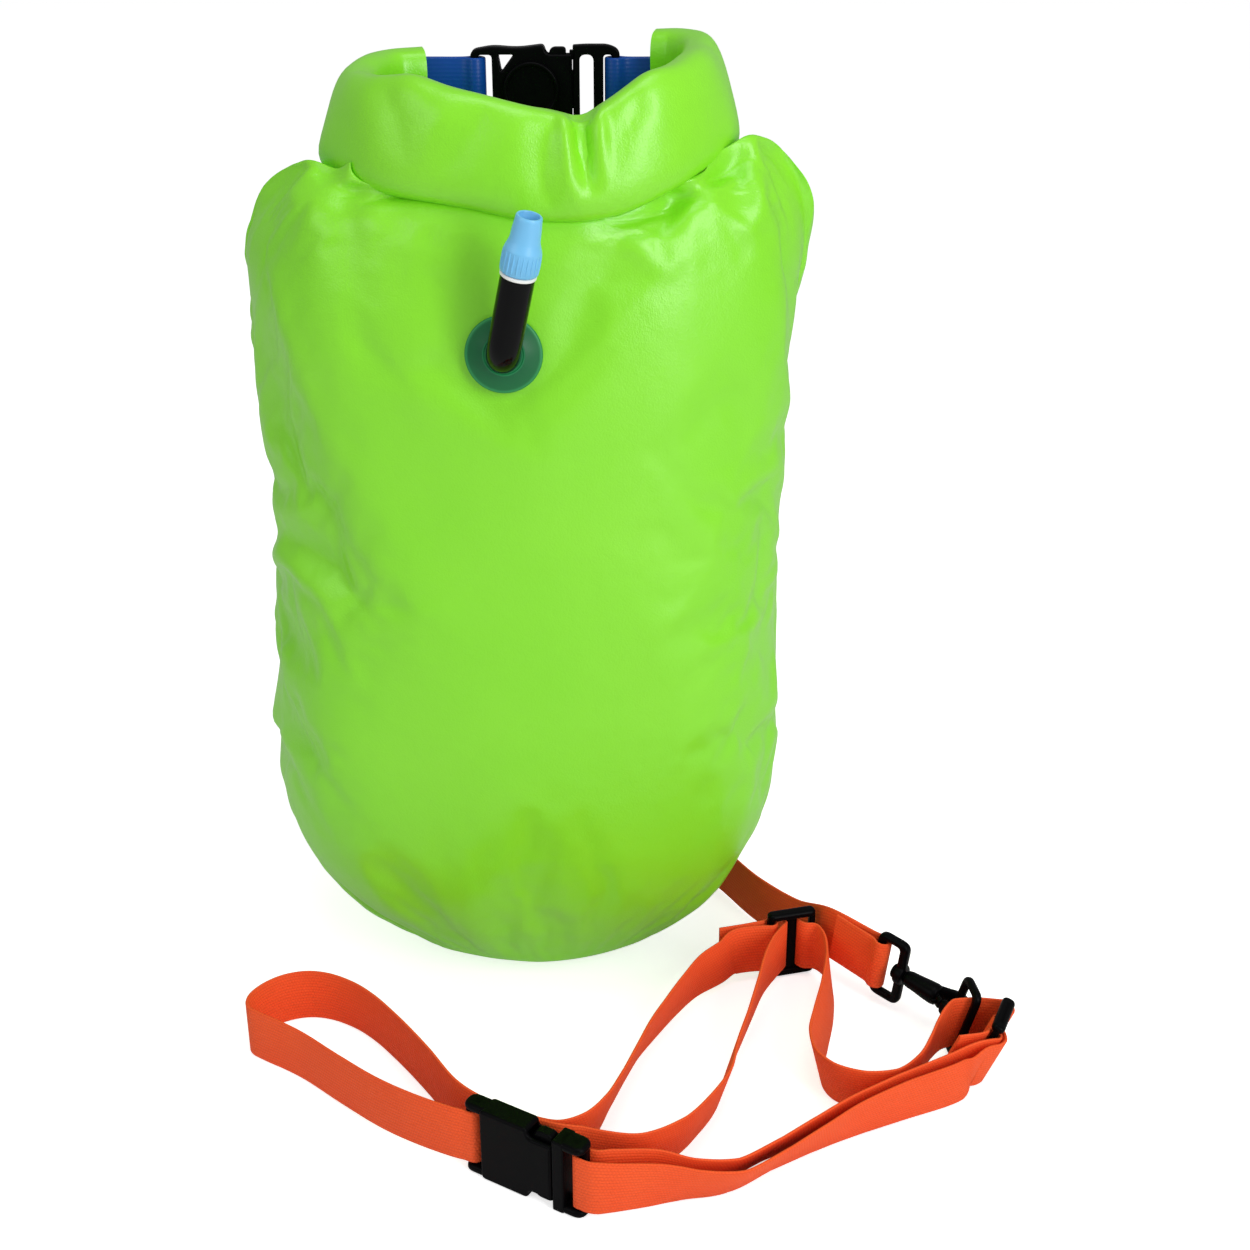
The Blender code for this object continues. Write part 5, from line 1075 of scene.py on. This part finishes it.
def carved(mesh, shape):
    """A closed body with another one taken out of it."""
    tool, seed = linked("cavity", shape), linked("body", mesh)
    cut = seed.modifiers.new("cavity", "BOOLEAN")
    cut.operation, cut.solver, cut.object = "DIFFERENCE", "EXACT", tool
    bpy.context.view_layer.update()
    made = baked(seed)
    for thing in (tool, seed):
        bpy.data.objects.remove(thing)
    return made


def sprung_arms(buckle, corners, half, edge, facing):
    """A buckle's two sprung arms, one the mirror of the other."""
    for node, sign in ((buckle + "_prong_upper", 1), (buckle + "_prong_lower", -1)):
        outline = filleted([(x, y * sign, radius) for x, y, radius in corners])
        moulded(node, plate([outline], half, edge, facing))


black_acetal = moulded_acetal()
UPRIGHT = Matrix.Rotation(math.radians(90), 4, "X")
SIDEWAYS = Matrix.Rotation(math.radians(90), 4, "Z") @ UPRIGHT
ENDS = [Matrix.Translation((0, 0, height / 1000)) for height in (15.25, -15.25)]
CLASP = turned_to((0.857167, -0.515038, 0), (0.515038, 0.857167, 0), (0, 0, 1), (0.0056, -0.1702, 0.017))
RING = turned_to((0.954097, 0.117148, -0.275637), (-0.121869, 0.992546, 0), (0.273583, 0.033592, 0.961262),
                 (0.19, -0.0865, 0.017))
LEFT_SLIDER = turned_to((0.965926, 0.258819, 0), (-0.258819, 0.965926, 0), (0, 0, 1), (0.12, -0.027, 0.017))
RIGHT_SLIDER = turned_to((0.400349, 0.916363, 0), (-0.861099, 0.376205, 0.34202),
                         (0.313414, -0.136927, 0.939693), (0.1985, -0.099, 0.017))
SHANK = (-0.749084, 0.651169, 0.121869)
HOOK = turned_to((-0.623205, -0.755049, 0.203755), (0.224696, 0.07668, 0.971407), SHANK,
                 (0.187165, -0.074682, 0.017252))
EYE = turned_to((-0.656059, -0.754709, 0), (0.091976, -0.079953, 0.992546), SHANK,
                (0.187165, -0.074682, 0.017252))
CLOSURE = Matrix.Translation(CLOSURE_PLACE)

# Sliders: two slots either side of a broad middle bar, between two thick rounded rails.
for node, facing in (("left_glide", LEFT_SLIDER), ("right_glide", RIGHT_SLIDER)):
    ring = plate([slab((-11.5, -17), (11.5, 17), 4.2), slab((-8.6, -13.5), (8.6, 13.5), 1.2)], 1.45, 0.75,
                 facing @ UPRIGHT)
    middle = plate([slab((-2.6, -15), (2.6, 15), 0.5)], 1.45, 1.2, facing @ UPRIGHT)
    rails = [plate([slab((-11.4, -2.9), (11.4, 2.9), 2.8)], 1.75, 1.5, facing @ level) for level in ENDS]
    moulded(node, ring, middle, *rails)

# Ring: a rounded loop of round bar.
moulded("strap_ring", plate([slab((-5.65, -17), (12.35, 17), 5.2), slab((-2.05, -13.4), (8.75, 13.4), 2.2)],
                            1.8, 1.5, RING @ SIDEWAYS))

# Belt buckle. The female half is hollow, with a bay at each side for the male half's thumb pads; both
# halves end in a webbing bar between thick rounded rails.
face = CLASP @ UPRIGHT
body = plate([mirrored([(-19.5, 17, 2.4), (2.6, 17, 1.8), (3.2, 12.9, 2.6), (14, 13.2, 0.5)])], 5, 1.2, face)
body = carved(body, plate([slab((-3, -15.3), (16, 15.3), 0.8)], 3.3, 0, face))
bar = plate([slab((-28, -17), (-18, 17), 3.4), slab((-24.5, -13.5), (-19.5, 13.5), 0.8)], 2.0, 0.9, face)
rails = [plate([slab((-28, -4.2), (-16, 4.2), 4.0)], 1.75, 1.5, CLASP @ level) for level in ENDS]
moulded("buckle_female", body, bar, *rails)
shoulder = plate([slab((14.3, -17), (19.5, 17), 0.9)], 5, 0.8, face)
bar = plate([slab((18, -17), (28, 17), 3.4), slab((19.5, -13.5), (24.5, 13.5), 0.8)], 2.0, 0.9, face)
rails = [plate([slab((15.5, -4.9), (28, 4.9), 4.7)], 1.75, 1.6, CLASP @ level) for level in ENDS]
tongue = plate([slab((-0.5, -3.8), (15.5, 3.8), 1.5)], 2.25, 0.6, face)
moulded("buckle_male", shoulder, bar, tongue, *rails)
sprung_arms("buckle", [(14, 8, 0), (-0.5, 8, 0.8), (-0.5, 11, 0.8), (3.9, 11, 1.0), (4.4, 16.3, 3.6),
                       (13.4, 16.3, 3.0), (13.6, 11, 0.6), (14, 11, 0)], 2.6, 1.0, face)

# Swivel eye, snap hook and gate. The hook's post turns in the eye's bore; the gate has a thumb nub.
eye = plate([slab((-17, 25.1), (17, 41.1), 4.6), slab((-13.5, 29.4), (13.5, 37.5), 1.8)], 2.2, 1.6,
            EYE @ SIDEWAYS)
bore = lathe("bore", ((0, 0.024), (0.0023, 0.024), (0.0023, 0.031), (0, 0.031)), EYE, 32)
boss = lathe("boss", ((0.0023, 0.0252), (0.0042, 0.0252), (0.0048, 0.0258), (0.0048, 0.0284),
                      (0.0042, 0.0292), (0.0023, 0.0292)), EYE, 32)
moulded("swivel_eye", carved(eye, bore), boss)
barrel = lathe("barrel", ((0, 0.0070), (0.0036, 0.0070), (0.0046, 0.0078), (0.0049, 0.0096),
                          (0.0046, 0.0135), (0.0041, 0.0180), (0.0038, 0.0222), (0.0033, 0.0240),
                          (0.0026, 0.0245), (0, 0.0245)), HOOK, 40)
post = lathe("post", ((0, 0.0240), (0.0020, 0.0240), (0.0020, 0.0297), (0.0030, 0.0297), (0.0033, 0.0300),
                      (0.0033, 0.0307), (0.0029, 0.0311), (0, 0.0311)), HOOK, 32)
bow = [Vector((-1.26, 0, 11.4))]
bow += [Vector((math.cos(a), 0, math.sin(a))) * 6.4 for a in np.radians(np.linspace(140, 371, 22))]
broad = HOOK @ Matrix.Diagonal((1, 2, 1, 1))
moulded("hook_body", barrel, post, rod(bow, 1.85, broad))
moulded("hook_gate", rod([Vector((4.95, 0, 3.98)), Vector((3.75, 0, 5.67))], 1.3, broad),
        rod([Vector((4.6, 0, 5.3)), Vector((6.4, 0, 6.6))], 0.9, HOOK))

# Closure buckle: a round hub with a sunk face, two openings beside it, and slots for the tabs.
face = CLOSURE @ UPRIGHT
flank = [(-18.8, 13.6, 1.0), (-12.6, 13.6, 1.0), (-17.6, 7.0, 1.0)]
body = plate([mirrored([(-30, 15.4, 3.0), (-21, 17.0, 3.0), (-11, 16.2, 4.0), (-0.5, 17.5, 1.5),
                        (0.6, 13.8, 1.8), (10.8, 13.8, 0.5)]), slab((-27, -13.5), (-21.4, 13.5), 1.5),
              filleted(flank), filleted([(x, -y, radius) for x, y, radius in flank])], 3.2, 0.9, face)
body = carved(body, plate([slab((-4.5, -15.8), (13, 15.8), 0.8)], 2.2, 0, face))
hub = lathe("hub", ((0, 0), (0.0113, 0), (0.0113, 0.0052), (0.0110, 0.0057), (0.0105, 0.0058),
                    (0.0100, 0.0057), (0.0097, 0.0052), (0.0095, 0.0046), (0.0092, 0.0044), (0, 0.0044)),
            CLOSURE @ Matrix.Translation((-0.0057, 0, 0)) @ UPRIGHT, 64)
moulded("closure_female", body, hub)
body = plate([mirrored([(11.1, 17.2, 0.6), (16, 17.5, 2.0), (25, 17.5, 2.0), (30, 15.6, 2.8)]),
              slab((13.8, -13.5), (19.4, 13.5), 2.6), slab((23.4, -13.5), (27, 13.5), 1.5)], 2.1, 0.8, face)
tongue = plate([slab((-3.7, -3.3), (12.5, 3.3), 1.5)], 1.7, 0.5, face)
shoulders = [plate([slab((9.8, low), (12.5, high), 0.3)], 1.7, 0.2, face)
             for low, high in ((-15.2, -11.6), (-7.4, 7.4), (11.6, 15.2))]
moulded("closure_male", body, tongue, *shoulders)
sprung_arms("closure", [(10.8, 8, 0), (-3.7, 8, 0.8), (-3.7, 11, 0.8), (1.0, 11, 1.0), (2.0, 16.45, 2.4),
                        (8.4, 16.45, 1.6), (8.4, 11, 0.6), (10.8, 11, 0)], 1.75, 0.6, face)

# Stitching. Orange thread closes the tether on itself at its eye, and black thread holds the tether to its
# patch. Each box is crossed corner to corner.

eye_end = len(tether_line) - 1
sewn("tether_eye_stitches", "bag", strap_rows(tether_line, tether_wide, eye_end - 9, eye_end - 2, 1),
     orange_thread)
sewn("tether_patch_stitches", "bag", strap_rows(tether_line, tether_wide, 2, 18, -1), black_thread)

# Floor and light. A white sweep under a large soft lamp from the front right and a broad dim sky, at
# a level where a colour renders as it is written.


def seen_rays(tree):
    """1 for the rays that show the backdrop: the camera's own, and those through clear parts."""
    path = put(tree, "ShaderNodeLightPath")
    return reckon(tree, "MAXIMUM", path["Is Camera Ray"], path["Is Transmission Ray"])


def studio_paper():
    """Matt white photographer's paper that glows a little where it is seen, so that it stays white."""
    material, tree, shader = new_material("studio_paper", Base_Color=linear("#F4F4F4"), Roughness=0.9)
    glow = put(tree, "ShaderNodeEmission", {"Color": (1, 1, 1, 1), "Strength": 0.66})[0]
    both = put(tree, "ShaderNodeAddShader", {0: shader.outputs[0], 1: glow})[0]
    shown = put(tree, "ShaderNodeMixShader", {0: seen_rays(tree), 1: shader.outputs[0], 2: both})[0]
    tree.links.new(shown, tree.nodes["Material Output"].inputs["Surface"])
    return material


# The sheet lies a hair under the floor's height, so that nothing that rests on the floor cuts into it
reach, sunk = 6, -0.0004
paper = bpy.data.meshes.new("floor")
paper.from_pydata([(x * reach, y * reach, sunk) for x, y in ((-1, -1), (1, -1), (1, 1), (-1, 1))], [],
                  [(0, 1, 2, 3)])
paper.materials.append(studio_paper())
linked("floor", paper)

scene.world = bpy.data.worlds.new("sky")
scene.world.use_nodes = True
sky = scene.world.node_tree
bright = put(sky, "ShaderNodeMapRange", {"Value": seen_rays(sky), "To Min": 0.365, "To Max": 1.0})["Result"]
sky.nodes["Background"].inputs["Color"].default_value = (1, 1, 1, 1)
sky.links.new(bright, sky.nodes["Background"].inputs["Strength"])

for name, place, aim, wide, tall, power in (
        ("key", (1.05, -1.25, 0.85), (0.02, 0, 0.22), 0.5, 1.3, 15.6),
        ("fill", (-1.3, -1.0, 1.0), (0, 0, 0.2), 0.9, 0.9, 4),
        ("top", (0.1, -0.3, 1.7), (0, -0.05, 0.3), 0.9, 0.7, 6)):
    light = bpy.data.lights.new(name, "AREA")
    light.shape, light.size, light.size_y, light.energy = "RECTANGLE", wide, tall, power
    lamp = linked(name, light)
    lamp.location = place
    lamp.rotation_euler = (Vector(aim) - Vector(place)).to_track_quat("-Z", "Y").to_euler()

scene.view_settings.view_transform = "Standard"
